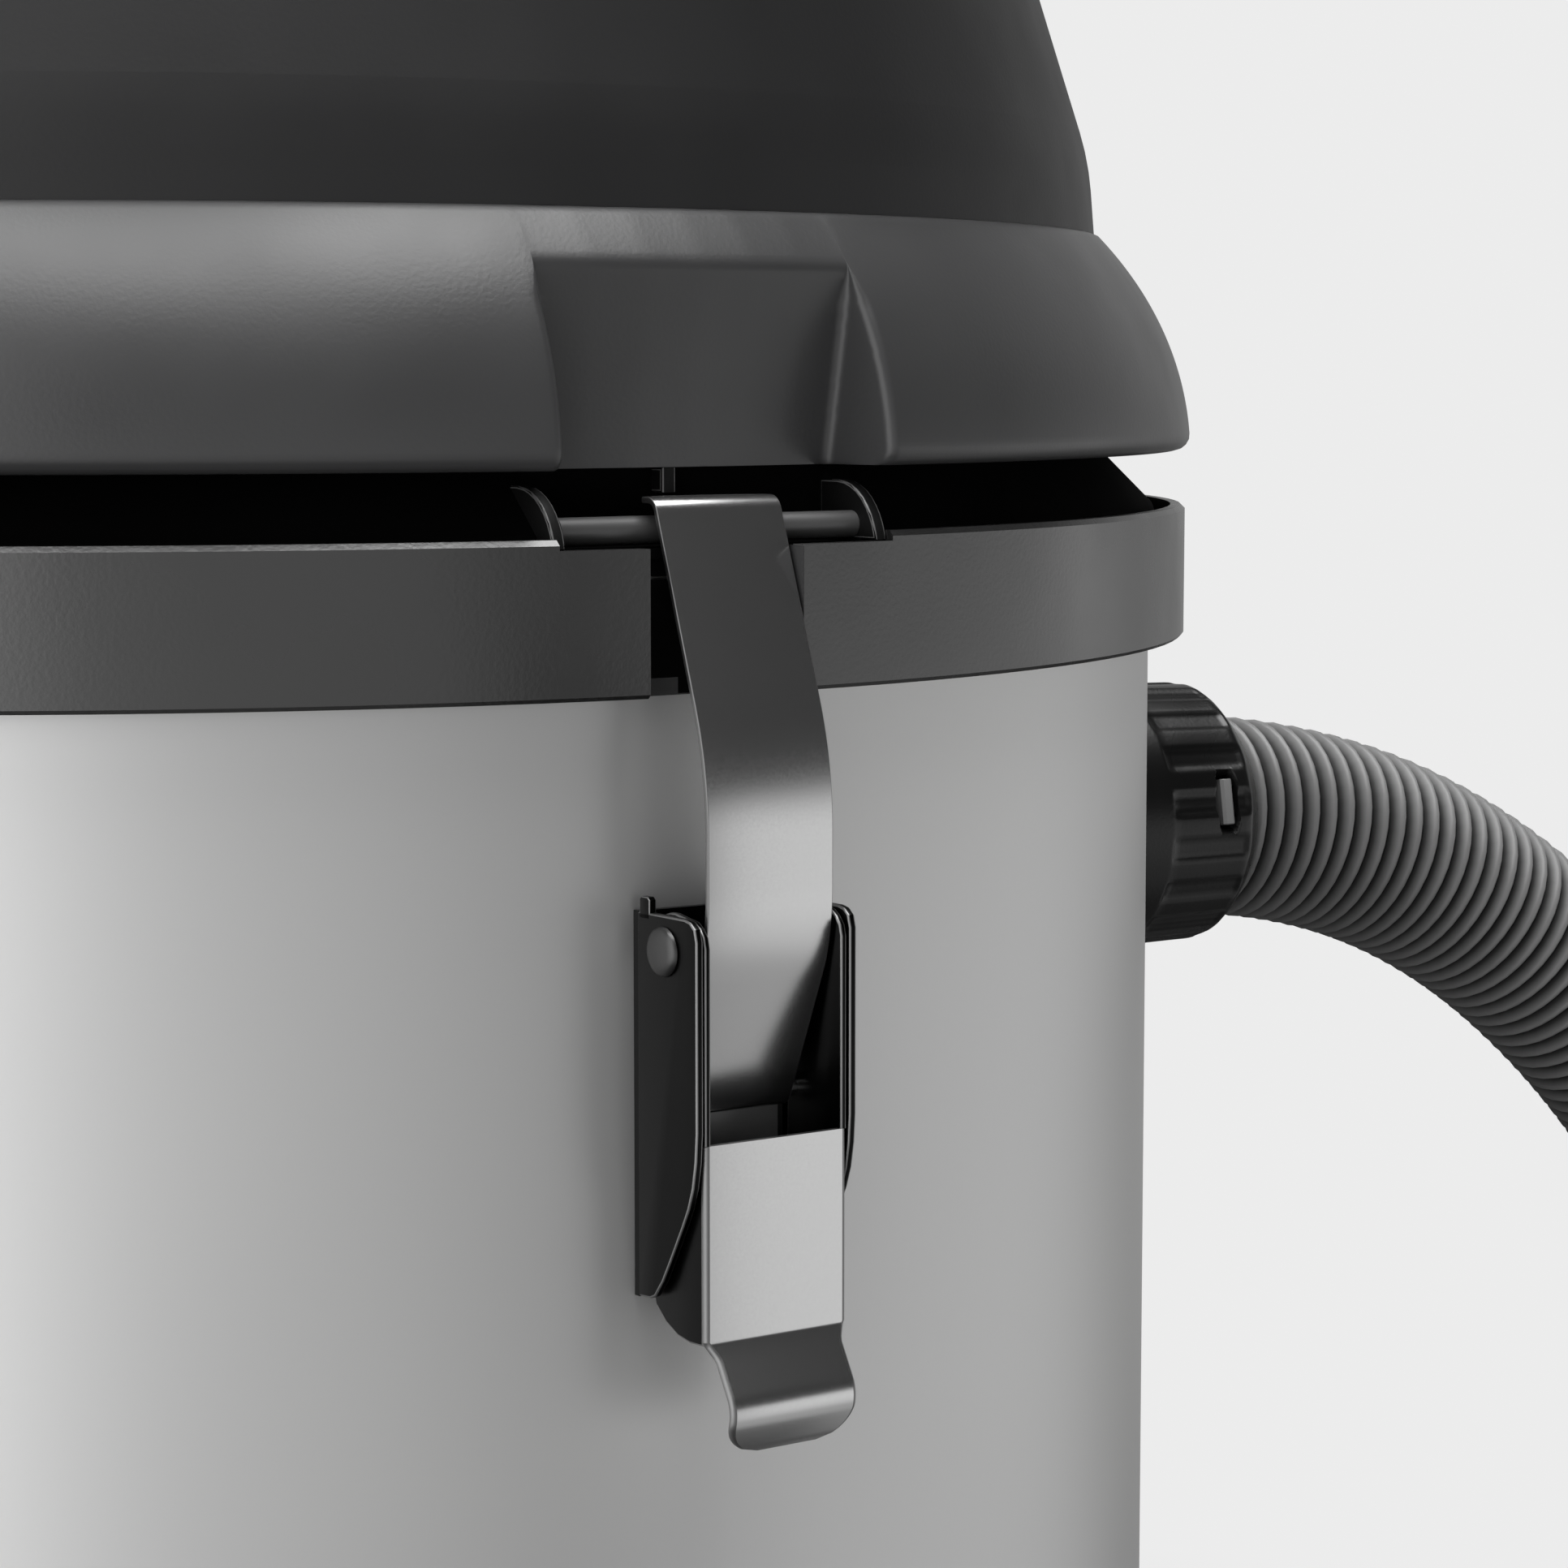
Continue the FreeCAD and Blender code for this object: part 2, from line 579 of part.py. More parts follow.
def switch_body():
    block = Part.makeBox(30, 30, 22, Vector(-15, -15, -33))
    neck = Part.makeCylinder(7.9, 24.5, Vector(0, 0, -22))
    bore = Part.makeCylinder(3.0 + RUN, 30, Vector(0, 0, -15))
    return knob_frame(fuse(block, neck).cut(bore))


def cable_gland():
    flange = along_y(11, 163, 171, GLAND_Z)
    sleeve = Part.makeCone(9.5, 7.0, 16, Vector(0, 171, GLAND_Z), Vector(0, 1, 0))
    neck = along_y(7.4, 157, 166, GLAND_Z)
    lip = along_y(10, 154, 157, GLAND_Z)
    bore = along_y(4.0, 150, 190, GLAND_Z)
    outside = hood_profile(-0.02)
    return fuse(flange.cut(outside), sleeve.cut(outside), neck, lip).cut(bore)


def carry_handle():
    """Loop over the top of the hood, screwed on from inside."""
    foot = (HANDLE_FEET[2] + HANDLE_FEET[3]) / 2
    low, high = HANDLE_FOOT_Z, HANDLE_TOP_Z
    path = [(-foot, 0, low), (-foot, 0, high), (foot, 0, high), (foot, 0, low)]
    spine = Part.Wire(bend(path, [22.0, 22.0]))
    half_x, half_y = 12.0, 15.0
    corners = [(-half_x, -half_y), (half_x, -half_y), (half_x, half_y), (-half_x, half_y), (-half_x, -half_y)]
    section = Part.makePolygon([Vector(x - foot, y, low) for x, y in corners])
    bar = spine.makePipeShell([section], True, False)
    bar = bar.makeFillet(5.0, [edge for edge in bar.Edges if edge.BoundBox.ZMax > low + 1])
    holes = [Part.makeCylinder(2.0, 40, Vector(x, 0, low - 6)) for x in HANDLE_FEET]
    return bar.cut(hood_profile(-0.02)).cut(holes)


def head_collar():
    """Black ring under the skirt. It sits on the seal, and a spigot below it centres the head in the drum."""
    outline = [
        (163, COLLAR_TOP), (171.2, COLLAR_TOP), (180.4, 402.9), (180.9, 401.6), (180.9, SEAL_TOP),
        (174.2, SEAL_TOP), (174.2, 389), (172.8, 386), (171.2, 386), (171.2, SEAL_TOP - 1),
        (163, SEAL_TOP - 1),
    ]
    notch = box(NOTCH_FACE, 200, -POCKET_HALF, POCKET_HALF, NOTCH_FLOOR, COLLAR_TOP + 1)
    fin = [
        (160, 409.9), (173.0, 409.9), (176.2, 409.2), (179.0, 407.4), (181.0, 404.9), (182.1, 402.3),
        (182.3, 401.4), (160, 401.4),
    ]
    ears = [plate(fin, side * (POCKET_HALF + 1) - 1, side * (POCKET_HALF + 1) + 1) for side in (-1, 1)]
    rib = box(NOTCH_FACE - 1, NOTCH_FACE + 2.5, -3.2, -0.7, 408.6, COLLAR_TOP)
    additions = [turned(shape, azimuth) for shape in ears + [rib] for azimuth in LATCH_AZIMUTHS.values()]
    pin_holes = at_both_latches(hook_pin())
    screw_holes = [Part.makeCylinder(2.0, 13, Vector(x, y, COLLAR_TOP - 12)) for x, y in deck_screw_places()]
    body = revolve(outline).cut(at_both_latches(notch))
    return fuse(body, *additions).cut(pin_holes + screw_holes)


def hook_pin():
    return pin(HOOK_PIN, HOOK_PIN_R, POCKET_HALF + 2)


def motor_deck():
    holes = [Part.makeCylinder(2.1, 8, Vector(x, y, COLLAR_TOP - 1)) for x, y in deck_screw_places()]
    eye = disc(42, COLLAR_TOP - 1, DECK_TOP + 1)
    return disc(167.0, COLLAR_TOP, DECK_TOP).cut([eye] + holes)


def deck_screw_places():
    angles = (0.9, 2.24, 4.04, 5.38)
    return [(DECK_SCREW_RING * math.cos(a), DECK_SCREW_RING * math.sin(a)) for a in angles]


def fan_housing():
    eye, outer, top = 30, FAN_R + 10, 446
    outline = [
        (eye, DECK_TOP), (outer, DECK_TOP), (outer, top), (MOTOR_R + 0.2, top), (MOTOR_R + 0.2, top - 3),
        (outer - 3, top - 3), (outer - 3, DECK_TOP + 2), (eye, DECK_TOP + 2),
    ]
    return revolve(outline)


def motor_housing():
    seat = 11.2
    inner = MOTOR_R - 2.5
    outline = [
        (MOTOR_R, 443.2), (MOTOR_R, 516), (seat, 516), (seat, 505), (seat + 2.3, 505), (seat + 2.3, 513),
        (inner, 513), (inner, 454), (seat, 454), (seat, 446), (seat + 2.3, 446), (seat + 2.3, 449),
        (inner, 449), (inner, 443.2),
    ]
    windows = round_the_axis(box(44, 56, -9, 9, 462, 500), 6, 30)
    return revolve(outline).cut(windows)


def motor_bearings():
    return Part.makeCompound([ring(SHAFT_R + RUN, 11.15, bottom, bottom + 7) for bottom in (446.5, 505.5)])


def rotor_shaft():
    return disc(SHAFT_R, 420.5, 513.5)


def armature():
    core = ring(SHAFT_R, 30.0, 464, 496)
    slots = round_the_axis(box(24, 32, -1.6, 1.6, 460, 500), 12)
    commutator = ring(SHAFT_R, 12.0, 498, 503)
    sleeve = ring(SHAFT_R, 10.0, 456, 504)
    return fuse(core.cut(slots), sleeve, commutator)


def impeller():
    """Fan wheel: a disc with nine swept blades under it."""
    plate_disc = ring(SHAFT_R, FAN_R, 436, 438)
    hub = ring(SHAFT_R, 12.0, 422, 441)
    blade = box(14, FAN_R - 2, -0.8, 0.8, 422, 437)
    blade.rotate(Vector(14, 0, 0), Vector(0, 0, 1), 24)
    return fuse(plate_disc, hub, *round_the_axis(blade, 9)).common(disc(FAN_R, 420, 445))


def motor_damper():
    return ring(40, 50, 516, 521)


def filter_cage():
    """Open tube under the deck: it carries the filter outside and guides the float inside."""
    flange_bottom = COLLAR_TOP - 4
    flange = ring(44, 92, flange_bottom, COLLAR_TOP)
    tube = ring(CAGE_R - 2.5, CAGE_R, CAGE_BOTTOM, flange_bottom)
    collar = ring(44, CAGE_R, COLLAR_TOP - 12, flange_bottom)
    floor = ring(STUD_R, CAGE_R, CAGE_BOTTOM, CAGE_BOTTOM + 3)
    windows = round_the_axis(box(40, 70, -14, 14, 276, 386), 6)
    stop = ring(28, 34, 293, 297)
    spokes = round_the_axis(box(30, CAGE_R - 1, -2, 2, 293, 297), 3, 30)
    return fuse(flange, tube.cut(windows), collar, floor, stop, *spokes)


def float_cup():
    """Float that shuts the suction when the drum is full."""
    cup = revolve([(0, 300), (38, 300), (42, 306), (42, 352), (36, 360), (0, 360)])
    hollow = revolve([(0, 299), (36, 299), (39, 306), (39, 350), (34, 357), (0, 357)])
    return cup.cut(hollow)


def filter_cartridge():
    """Pleated paper between two rubber end rings."""
    pleats = 40
    points = []
    for i in range(2 * pleats):
        radius = FILTER_R - 2 if i % 2 else 62.5
        angle = math.pi * i / pleats
        points.append(Vector(radius * math.cos(angle), radius * math.sin(angle), 276))
    paper = Part.Face(Part.makePolygon(points + points[:1])).extrude(Vector(0, 0, 112))
    return paper.cut(disc(FILTER_BORE + 0.5, 270, 400))


def filter_end_rings():
    heights = [(388, 407.5), (264, 276)]
    return Part.makeCompound([ring(FILTER_BORE, FILTER_R, low, high) for low, high in heights])


def filter_retainer():
    """Plate with three finger grips that holds the filter up against the deck."""
    outline = [
        (STUD_R, 250), (12, 250), (12, 256), (70, 256), (72, 258), (72, 264), (62, 264), (60, 261.8),
        (STUD_R, 261.8),
    ]
    grips = round_the_axis(box(10, 34, -3, 3, 244, 257), 3)
    return fuse(revolve(outline), *grips).cut(disc(STUD_R, 240, 270))


def filter_stud():
    return fuse(disc(STUD_R - 0.1, 247, 268), disc(9, CAGE_BOTTOM + 3.2, 268))


def head_seal():
    return ring(175.2, 180.6, DRUM_TOP, SEAL_TOP)


def head_screws():
    """Screws that hold the hood to the skirt, the motor deck to the collar and the handle to the hood."""
    screws = []
    for x, y in hood_screw_places():
        head = Part.makeCylinder(4.5, 3, Vector(x, y, SKIRT_TOP - WALL - 3))
        shank = Part.makeCylinder(2.0, 14, Vector(x, y, SKIRT_TOP - WALL))
        screws.append(head.fuse(shank))
    for x, y in deck_screw_places():
        head = Part.makeCylinder(3.8, 2.5, Vector(x, y, DECK_TOP))
        screws.append(head.fuse(Part.makeCylinder(2.0, 14, Vector(x, y, DECK_TOP - 14))))
    for x in HANDLE_FEET:
        head = Part.makeCylinder(4.0, 2.5, Vector(x, 0, HANDLE_FOOT_Z + 3))
        screws.append(head.fuse(Part.makeCylinder(2.0, 25, Vector(x, 0, HANDLE_FOOT_Z + 5))))
    return Part.makeCompound(screws)


# Inlet and hose -----------------------------------------------------------------------------------
def inlet_socket():
    front = -CONNECTOR_START + 0.2
    collar = along_y(CONNECTOR_R, front, -DRUM_R + 12).cut(disc(DRUM_R + 1.2, 250, 420))
    tube = along_y(SOCKET_R, front, -156)
    bore = along_y(SPIGOT_R + RUN, -CONNECTOR_START - 5, -150)
    return fuse(collar, tube).cut(bore)


def inlet_seal():
    washer = along_y(CONNECTOR_R - 0.6, -DRUM_R - 5, -DRUM_R + 12)
    shell = ring(DRUM_R + 0.02, DRUM_R + 1.2, 250, 420)
    return washer.common(shell).cut(along_y(SOCKET_R, -DRUM_R - 10, -150))


def inlet_nut():
    nut = along_y(31, -174, -162).common(disc(DRUM_R - SHEET - 0.02, 250, 420))
    notches = []
    for i in range(8):
        notch = Part.makeBox(7, 14, 5, Vector(-3.5, -175, 28.5))
        notch.rotate(Vector(0, 0, 0), Vector(0, 1, 0), 45 * i)
        notch.translate(Vector(0, 0, INLET_Z))
        notches.append(notch)
    return nut.cut(along_y(SOCKET_R, -180, -150)).cut(notches)


def hose_connector():
    """Bayonet end of the hose: a ribbed grip, a spigot that fits the socket, and two latching windows."""
    grip = along_y(CONNECTOR_R, -CONNECTOR_END, -CONNECTOR_START)
    end_edges = [edge for edge in grip.Edges if edge.BoundBox.YMax < -CONNECTOR_END + 0.1]
    grip = grip.makeFillet(4.0, end_edges)
    spigot = along_y(SPIGOT_R, -CONNECTOR_START - 1, -164)
    hose_stop = -204
    bores = [
        along_y(SPIGOT_R - 3, hose_stop, -150), along_y(HOSE_R + RUN, -CONNECTOR_END - 1, hose_stop),
    ]
    grooves = []
    for i in range(16):
        groove = Part.makeBox(2.2, 25, 1.2, Vector(-1.1, -224, CONNECTOR_R - 0.8))
        groove.rotate(Vector(0, 0, 0), Vector(0, 1, 0), 22.5 * i + 11)
        groove.translate(Vector(0, 0, INLET_Z))
        grooves.append(groove)
    window = box(-32, 32, -223.5, -218.5, INLET_Z - 6.5, INLET_Z + 6.5)
    window.rotate(Vector(0, 0, INLET_Z), Vector(0, 1, 0), 10)
    return fuse(grip, spigot).cut(bores + grooves + [window])


def hose_radii():
    """The largest tangent arc that each corner of the route allows."""
    points = [Vector(*p) for p in HOSE_ROUTE]
    radii = []
    for before, corner, after in zip(points, points[1:], points[2:]):
        run = min((corner - before).Length, (after - corner).Length)
        half = (math.pi - (before - corner).getAngle(after - corner)) / 2
        radii.append(0.45 * run / math.tan(half))
    return radii


def hose_tube():
    spine = Part.Wire(bend(HOSE_ROUTE, hose_radii()))
    start = Vector(*HOSE_ROUTE[0])
    walls = []
    for radius in (HOSE_R, HOSE_BORE):
        section = Part.Wire(Part.makeCircle(radius, start, Vector(0, 1, 0)))
        walls.append(spine.makePipeShell([section], True, False))
    tube = walls[0].cut(walls[1])
    volume = math.pi * (HOSE_R ** 2 - HOSE_BORE ** 2) * spine.Length
    print("hose length", round(spine.Length), "volume ratio", round(tube.Volume / volume, 4))
    return tube


def hose_end_direction():
    return (Vector(*HOSE_ROUTE[-1]) - Vector(*HOSE_ROUTE[-2])).normalize()


def hose_cuff():
    ahead = hose_end_direction()
    start = Vector(*HOSE_ROUTE[-1]) - ahead * CUFF_OVERLAP
    body = Part.makeCylinder(CUFF_R, CUFF_LENGTH, start, ahead)
    hose_room = Part.makeCylinder(HOSE_R + RUN, CUFF_OVERLAP, start, ahead)
    tube_room = Part.makeCylinder(HAND_TUBE_R + RUN, CUFF_LENGTH, start, ahead)
    return body.cut([hose_room, tube_room])


def hand_tube():
    ahead = hose_end_direction()
    start = Vector(*HOSE_ROUTE[-1]) + ahead * 4
    tube = Part.makeCylinder(HAND_TUBE_R, HAND_TUBE_LENGTH, start, ahead)
    bead = Part.makeCylinder(HAND_TUBE_R + 3, 5, start + ahead * (CUFF_LENGTH - CUFF_OVERLAP), ahead)
    return fuse(tube, bead).cut(Part.makeCylinder(HAND_TUBE_R - 2, HAND_TUBE_LENGTH, start, ahead))


# Assembly -----------------------------------------------------------------------------------------
def at_each_latch(*shapes):
    return Part.makeCompound([solid for shape in shapes for solid in at_both_latches(shape)])


PARTS = {
    "drum": drum(), "drum_bottom": drum_bottom(), "rim_band": rim_band(), "bumper_ring": bumper_ring(),
    "base_plate": base_plate(), "base_screws": base_screws(),
    "inlet_socket": inlet_socket(), "inlet_seal": inlet_seal(), "inlet_nut": inlet_nut(),
    "hose_connector": hose_connector(), "hose_tube": hose_tube(), "hose_cuff": hose_cuff(),
    "hand_tube": hand_tube(),
    "bracket_rivets": at_each_latch(*bracket_rivets()), "lever_pins": at_each_latch(lever_pin()),
    "head_seal": head_seal(), "head_collar": head_collar(), "hook_pins": at_each_latch(hook_pin()),
    "skirt": skirt(), "hood": hood(), "head_screws": head_screws(), "exhaust_grille": exhaust_grille(),
    "switch_knob": switch_knob(), "switch_body": switch_body(), "cable_gland": cable_gland(),
    "carry_handle": carry_handle(),
    "motor_deck": motor_deck(), "fan_housing": fan_housing(), "motor_housing": motor_housing(),
    "motor_damper": motor_damper(), "motor_bearings": motor_bearings(),
    "rotor_shaft": rotor_shaft(), "armature": armature(), "impeller": impeller(),
    "filter_cage": filter_cage(), "float_cup": float_cup(),
    "filter_cartridge": filter_cartridge(), "filter_end_rings": filter_end_rings(),
    "filter_retainer": filter_retainer(), "filter_stud": filter_stud(),
}
for side, azimuth in LATCH_AZIMUTHS.items():
    PARTS[f"latch_bracket_{side}"] = turned(latch_bracket(), azimuth)
    PARTS[f"latch_lever_{side}"] = turned(latch_lever(), azimuth)
    PARTS[f"latch_strap_{side}"] = turned(latch_strap(), azimuth)
    PARTS[f"strap_pin_{side}"] = turned(strap_pin(), azimuth)
for place, (x, y) in caster_places().items():
    PARTS[f"caster_fork_{place}"] = caster_fork(x, y)
    PARTS[f"caster_axle_{place}"] = caster_axle(x, y)
    PARTS[f"caster_wheel_{place}"] = caster_wheel(x, y)

os.makedirs("parts", exist_ok=True)
print("hose radii", [round(r) for r in hose_radii()])
for name, shape in PARTS.items():
    shape.exportStep(f"parts/{name}.step")
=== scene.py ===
import json
import math

import bmesh
import bpy
import numpy as np
from mathutils import Matrix, Vector


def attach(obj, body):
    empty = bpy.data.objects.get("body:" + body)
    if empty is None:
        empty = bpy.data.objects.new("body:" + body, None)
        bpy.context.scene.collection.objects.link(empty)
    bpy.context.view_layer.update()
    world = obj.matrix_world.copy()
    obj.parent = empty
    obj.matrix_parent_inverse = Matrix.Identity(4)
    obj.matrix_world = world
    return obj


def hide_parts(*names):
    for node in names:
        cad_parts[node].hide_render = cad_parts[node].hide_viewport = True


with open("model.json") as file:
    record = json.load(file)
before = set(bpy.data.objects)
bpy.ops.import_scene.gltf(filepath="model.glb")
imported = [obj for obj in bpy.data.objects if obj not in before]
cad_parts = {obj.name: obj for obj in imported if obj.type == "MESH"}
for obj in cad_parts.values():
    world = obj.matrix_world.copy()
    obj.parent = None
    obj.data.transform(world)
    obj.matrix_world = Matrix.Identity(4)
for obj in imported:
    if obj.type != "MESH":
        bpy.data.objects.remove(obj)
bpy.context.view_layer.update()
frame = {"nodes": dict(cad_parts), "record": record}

MM = 0.001


# Places taken from the frame -------------------------------------------------------------------------
INLET_Z = 0.335
HOSE_R = 0.0207
HOSE_PITCH = 0.0044
HOSE_GROOVE = 0.0024
HOSE_RIB = (0.0, 0.25, 0.85, 1.0, 0.85, 0.25)      # depth of a groove over one pitch

LATCH_AZIMUTHS = {"left": -83.0, "right": 83.0}     # degrees from the inlet

# The suction hose's route from the part's source, in metres. The points of its first bend are moved by up
# to 10 mm, to follow the photo.
HOSE_ROUTE = [
    (0, -0.206, 0.335), (0, -0.242, 0.335), (0, -0.296, 0.317), (0, -0.345, 0.278), (0.001, -0.382, 0.228),
    (0.013, -0.402, 0.170), (0.042, -0.411, 0.115), (0.090, -0.411, 0.070), (0.151, -0.408, 0.040),
    (0.222, -0.386, 0.0245), (0.285, -0.335, 0.0212), (0.323, -0.262, 0.0212), (0.334, -0.176, 0.0212),
    (0.322, -0.086, 0.0212), (0.292, 0, 0.0212), (0.250, 0.076, 0.0212), (0.192, 0.145, 0.0212),
    (0.111, 0.203, 0.0212), (0.017, 0.233, 0.0212), (-0.082, 0.232, 0.0212), (-0.171, 0.197, 0.0212),
    (-0.235, 0.132, 0.0215), (-0.265, 0.050, 0.0230), (-0.265, -0.034, 0.0230),
]


# Shares and meshes -----------------------------------------------------------------------------------
SHARP_ANGLE = 32            # degrees between two faces from which their edge stays sharp
SOFT_SHARP_ANGLE = 50       # the same for the softly moulded pieces


def clamped(share):
    return min(1.0, max(0.0, share))


def smoothstep(value, start, end):
    share = clamped((value - start) / (end - start))
    return share * share * (3 - 2 * share)


def mesh_object(name, points, faces, smooth=True):
    mesh = bpy.data.meshes.new(name)
    mesh.from_pydata([tuple(p) for p in points], [], faces)
    mesh.validate()
    if smooth:
        mesh.shade_smooth()
    piece = bpy.data.objects.new(name, mesh)
    bpy.context.scene.collection.objects.link(piece)
    return piece


def mesh_in_mm(name, points, faces):
    return mesh_object(name, [Vector(point) * MM for point in points], faces)


def facing_out(piece):
    work = bmesh.new()
    work.from_mesh(piece.data)
    bmesh.ops.recalc_face_normals(work, faces=work.faces)
    work.to_mesh(piece.data)
    work.free()


def grid_faces(rows, columns, wrap):
    """Quads between rows of points; each row closes on itself if wrap is set."""
    faces = []
    for i in range(rows - 1):
        for j in range(columns if wrap else columns - 1):
            k = (j + 1) % columns
            faces.append((i * columns + j, i * columns + k, (i + 1) * columns + k, (i + 1) * columns + j))
    return faces


def closing_faces(rows, columns):
    """Quads that join the last row of closed rows to the first."""
    last = (rows - 1) * columns
    return [(last + j, last + (j + 1) % columns, (j + 1) % columns, j) for j in range(columns)]


def finished(piece, angle=SHARP_ANGLE):
    facing_out(piece)
    piece.data.shade_smooth()
    piece.data.set_sharp_from_angle(angle=math.radians(angle))
    return piece


# Suction hose ----------------------------------------------------------------------------------------
def route_points():
    """The route's smooth line, read from its NURBS spline."""
    curve = bpy.data.curves.new("hose_line", "CURVE")
    curve.dimensions = "3D"
    curve.resolution_u = 64
    spline = curve.splines.new("NURBS")
    spline.points.add(len(HOSE_ROUTE) - 1)
    for point, place in zip(spline.points, HOSE_ROUTE):
        point.co = (*place, 1.0)
    spline.order_u = 3
    spline.use_endpoint_u = True
    holder = bpy.data.objects.new("hose_line", curve)
    line = bpy.data.meshes.new_from_object(holder)
    points = np.array([v.co for v in line.vertices])
    bpy.data.objects.remove(holder)
    bpy.data.meshes.remove(line)
    return points


def evenly_spaced(points, step):
    gaps = np.linalg.norm(np.diff(points, axis=0), axis=1)
    reach = np.concatenate([[0], np.cumsum(gaps)])
    count = int(reach[-1] / step) + 1
    wanted = np.linspace(0, reach[-1], count)
    return np.stack([np.interp(wanted, reach, points[:, i]) for i in range(3)], axis=1), reach[-1]


def frames_along(points):
    """A side vector for each point of a line, carried along it without twisting."""
    ahead = np.gradient(points, axis=0)
    ahead /= np.linalg.norm(ahead, axis=1)[:, None]
    side = Vector((1, 0, 0))
    pairs = []
    for tangent in ahead:
        tangent = Vector(tangent)
        side = (side - tangent * side.dot(tangent)).normalized()
        pairs.append((side.copy(), tangent.cross(side)))
    return pairs


def make_hose():
    """The corrugated hose, its centre line and its length. Each point keeps how deep in a groove it is."""
    sides, steps = 36, len(HOSE_RIB)
    line = route_points()
    points, length = evenly_spaced(line, HOSE_PITCH / steps)
    rows = []
    for i, (point, (side, up)) in enumerate(zip(points, frames_along(points))):
        radius = HOSE_R - HOSE_GROOVE * HOSE_RIB[i % steps]
        for j in range(sides):
            angle = 2 * math.pi * j / sides
            rows.append(Vector(point) + (side * math.cos(angle) + up * math.sin(angle)) * radius)
    faces = grid_faces(len(points), sides, True)
    faces += [tuple(range(sides))[::-1], tuple(range(len(rows) - sides, len(rows)))]
    hose = mesh_object("hose_corrugated", rows, faces)
    facing_out(hose)
    # How deep each point lies in a groove; the hose's material paints shade with it.
    groove = hose.data.attributes.new("groove", "FLOAT", "POINT")
    depths = [HOSE_RIB[i % steps] for i in range(len(points)) for _ in range(sides)]
    groove.data.foreach_set("value", depths)
    return hose, line, length


# Flat paths and plates --------------------------------------------------------------------------------
def rounded(corners, radii, steps=8):
    """A flat path through the corners, each inner one turned into an arc."""
    corners = [Vector(corner) for corner in corners]
    path = [corners[0]]
    for before, corner, after, radius in zip(corners, corners[1:], corners[2:], radii):
        back, ahead = (before - corner).normalized(), (after - corner).normalized()
        half = (math.pi - back.angle(ahead)) / 2
        centre = corner + (back + ahead).normalized() * (radius / math.cos(half))
        first = corner + back * (radius * math.tan(half)) - centre
        last = corner + ahead * (radius * math.tan(half)) - centre
        for k in range(steps + 1):
            share = k / steps
            a = math.sin(2 * half * (1 - share)) / math.sin(2 * half)
            b = math.sin(2 * half * share) / math.sin(2 * half)
            path.append(centre + first * a + last * b)
    path.append(corners[-1])
    return path


def finer(path, step):
    """The same path with more points on its long runs."""
    points = [path[0]]
    for a, b in zip(path, path[1:]):
        count = max(1, int((b - a).length / step))
        points += [a.lerp(b, (k + 1) / count) for k in range(count)]
    return points


def round_edged(thickness, inner, outer, steps=4):
    """Section of a strip: side, distance in from that side, and height above its middle."""
    section = []
    for side, up, start in ((1, 1, 0), (-1, 1, 90), (-1, -1, 180), (1, -1, 270)):
        edge = outer if up > 0 else inner
        for k in range(steps + 1):
            angle = math.radians(start + 90 * k / steps)
            height = up * (thickness / 2 - edge) + edge * math.sin(angle)
            section.append((side, edge * (math.cos(angle) - side), height))
    return section


def strip_piece(name, path, section, half_width):
    """Sheet metal along a path of (distance, height) points. Its cut edges get the second material."""
    reach = [0.0]
    for a, b in zip(path, path[1:]):
        reach.append(reach[-1] + (b - a).length)
    points = []
    for i, place in enumerate(path):
        ahead = (path[min(i + 1, len(path) - 1)] - path[max(i - 1, 0)]).normalized()
        out = Vector((-ahead.y, ahead.x))
        half = half_width(place, reach[-1] - reach[i])
        for side, inward, height in section:
            spot = place + out * height
            points.append((spot.x, side * half + inward, spot.y))
    count = len(section)
    faces = grid_faces(len(path), count, True)
    faces += [tuple(range(count))[::-1], tuple(range(len(points) - count, len(points)))]
    piece = mesh_in_mm(name, points, faces)
    flats = (count // 4 - 1, 3 * count // 4 - 1)
    for i, face in enumerate(piece.data.polygons):
        face.material_index = 0 if i % count in flats else 1
    return finished(piece)


def plate_piece(name, corners, y0, y1, bevel=0.28):
    """A flat plate from (distance, height) corners, its edges rounded and given the second material."""
    work = bmesh.new()
    low = [work.verts.new((n * MM, y0 * MM, z * MM)) for n, z in corners]
    face = work.faces.new(low)
    grown = bmesh.ops.extrude_face_region(work, geom=[face])["geom"]
    for vertex in grown:
        if isinstance(vertex, bmesh.types.BMVert):
            vertex.co.y = y1 * MM
    bmesh.ops.recalc_face_normals(work, faces=work.faces)
    rims = [edge for edge in work.edges if abs(edge.verts[0].co.y - edge.verts[1].co.y) < 1e-7]
    bmesh.ops.bevel(work, geom=rims, offset=bevel * MM, segments=3, profile=0.5, affect="EDGES", material=1)
    mesh = bpy.data.meshes.new(name)
    work.to_mesh(mesh)
    work.free()
    piece = bpy.data.objects.new(name, mesh)
    bpy.context.scene.collection.objects.link(piece)
    return finished(piece)


def joined(name, pieces):
    """One piece from several, whose faces keep their material numbers."""
    work = bmesh.new()
    for piece in pieces:
        work.from_mesh(piece.data)
    mesh = bpy.data.meshes.new(name)
    work.to_mesh(mesh)
    work.free()
    for piece in pieces:
        bpy.data.objects.remove(piece)
    whole = bpy.data.objects.new(name, mesh)
    bpy.context.scene.collection.objects.link(whole)
    mesh.set_sharp_from_angle(angle=math.radians(SHARP_ANGLE))
    return whole


def mirrored_plates(name, corners, inner, outer, bevel=0.28):
    """Two equal plates, one on each side of the latch's middle."""
    sides = ((-outer, -inner), (inner, outer))
    return [plate_piece(name, corners, y0, y1, bevel) for y0, y1 in sides]


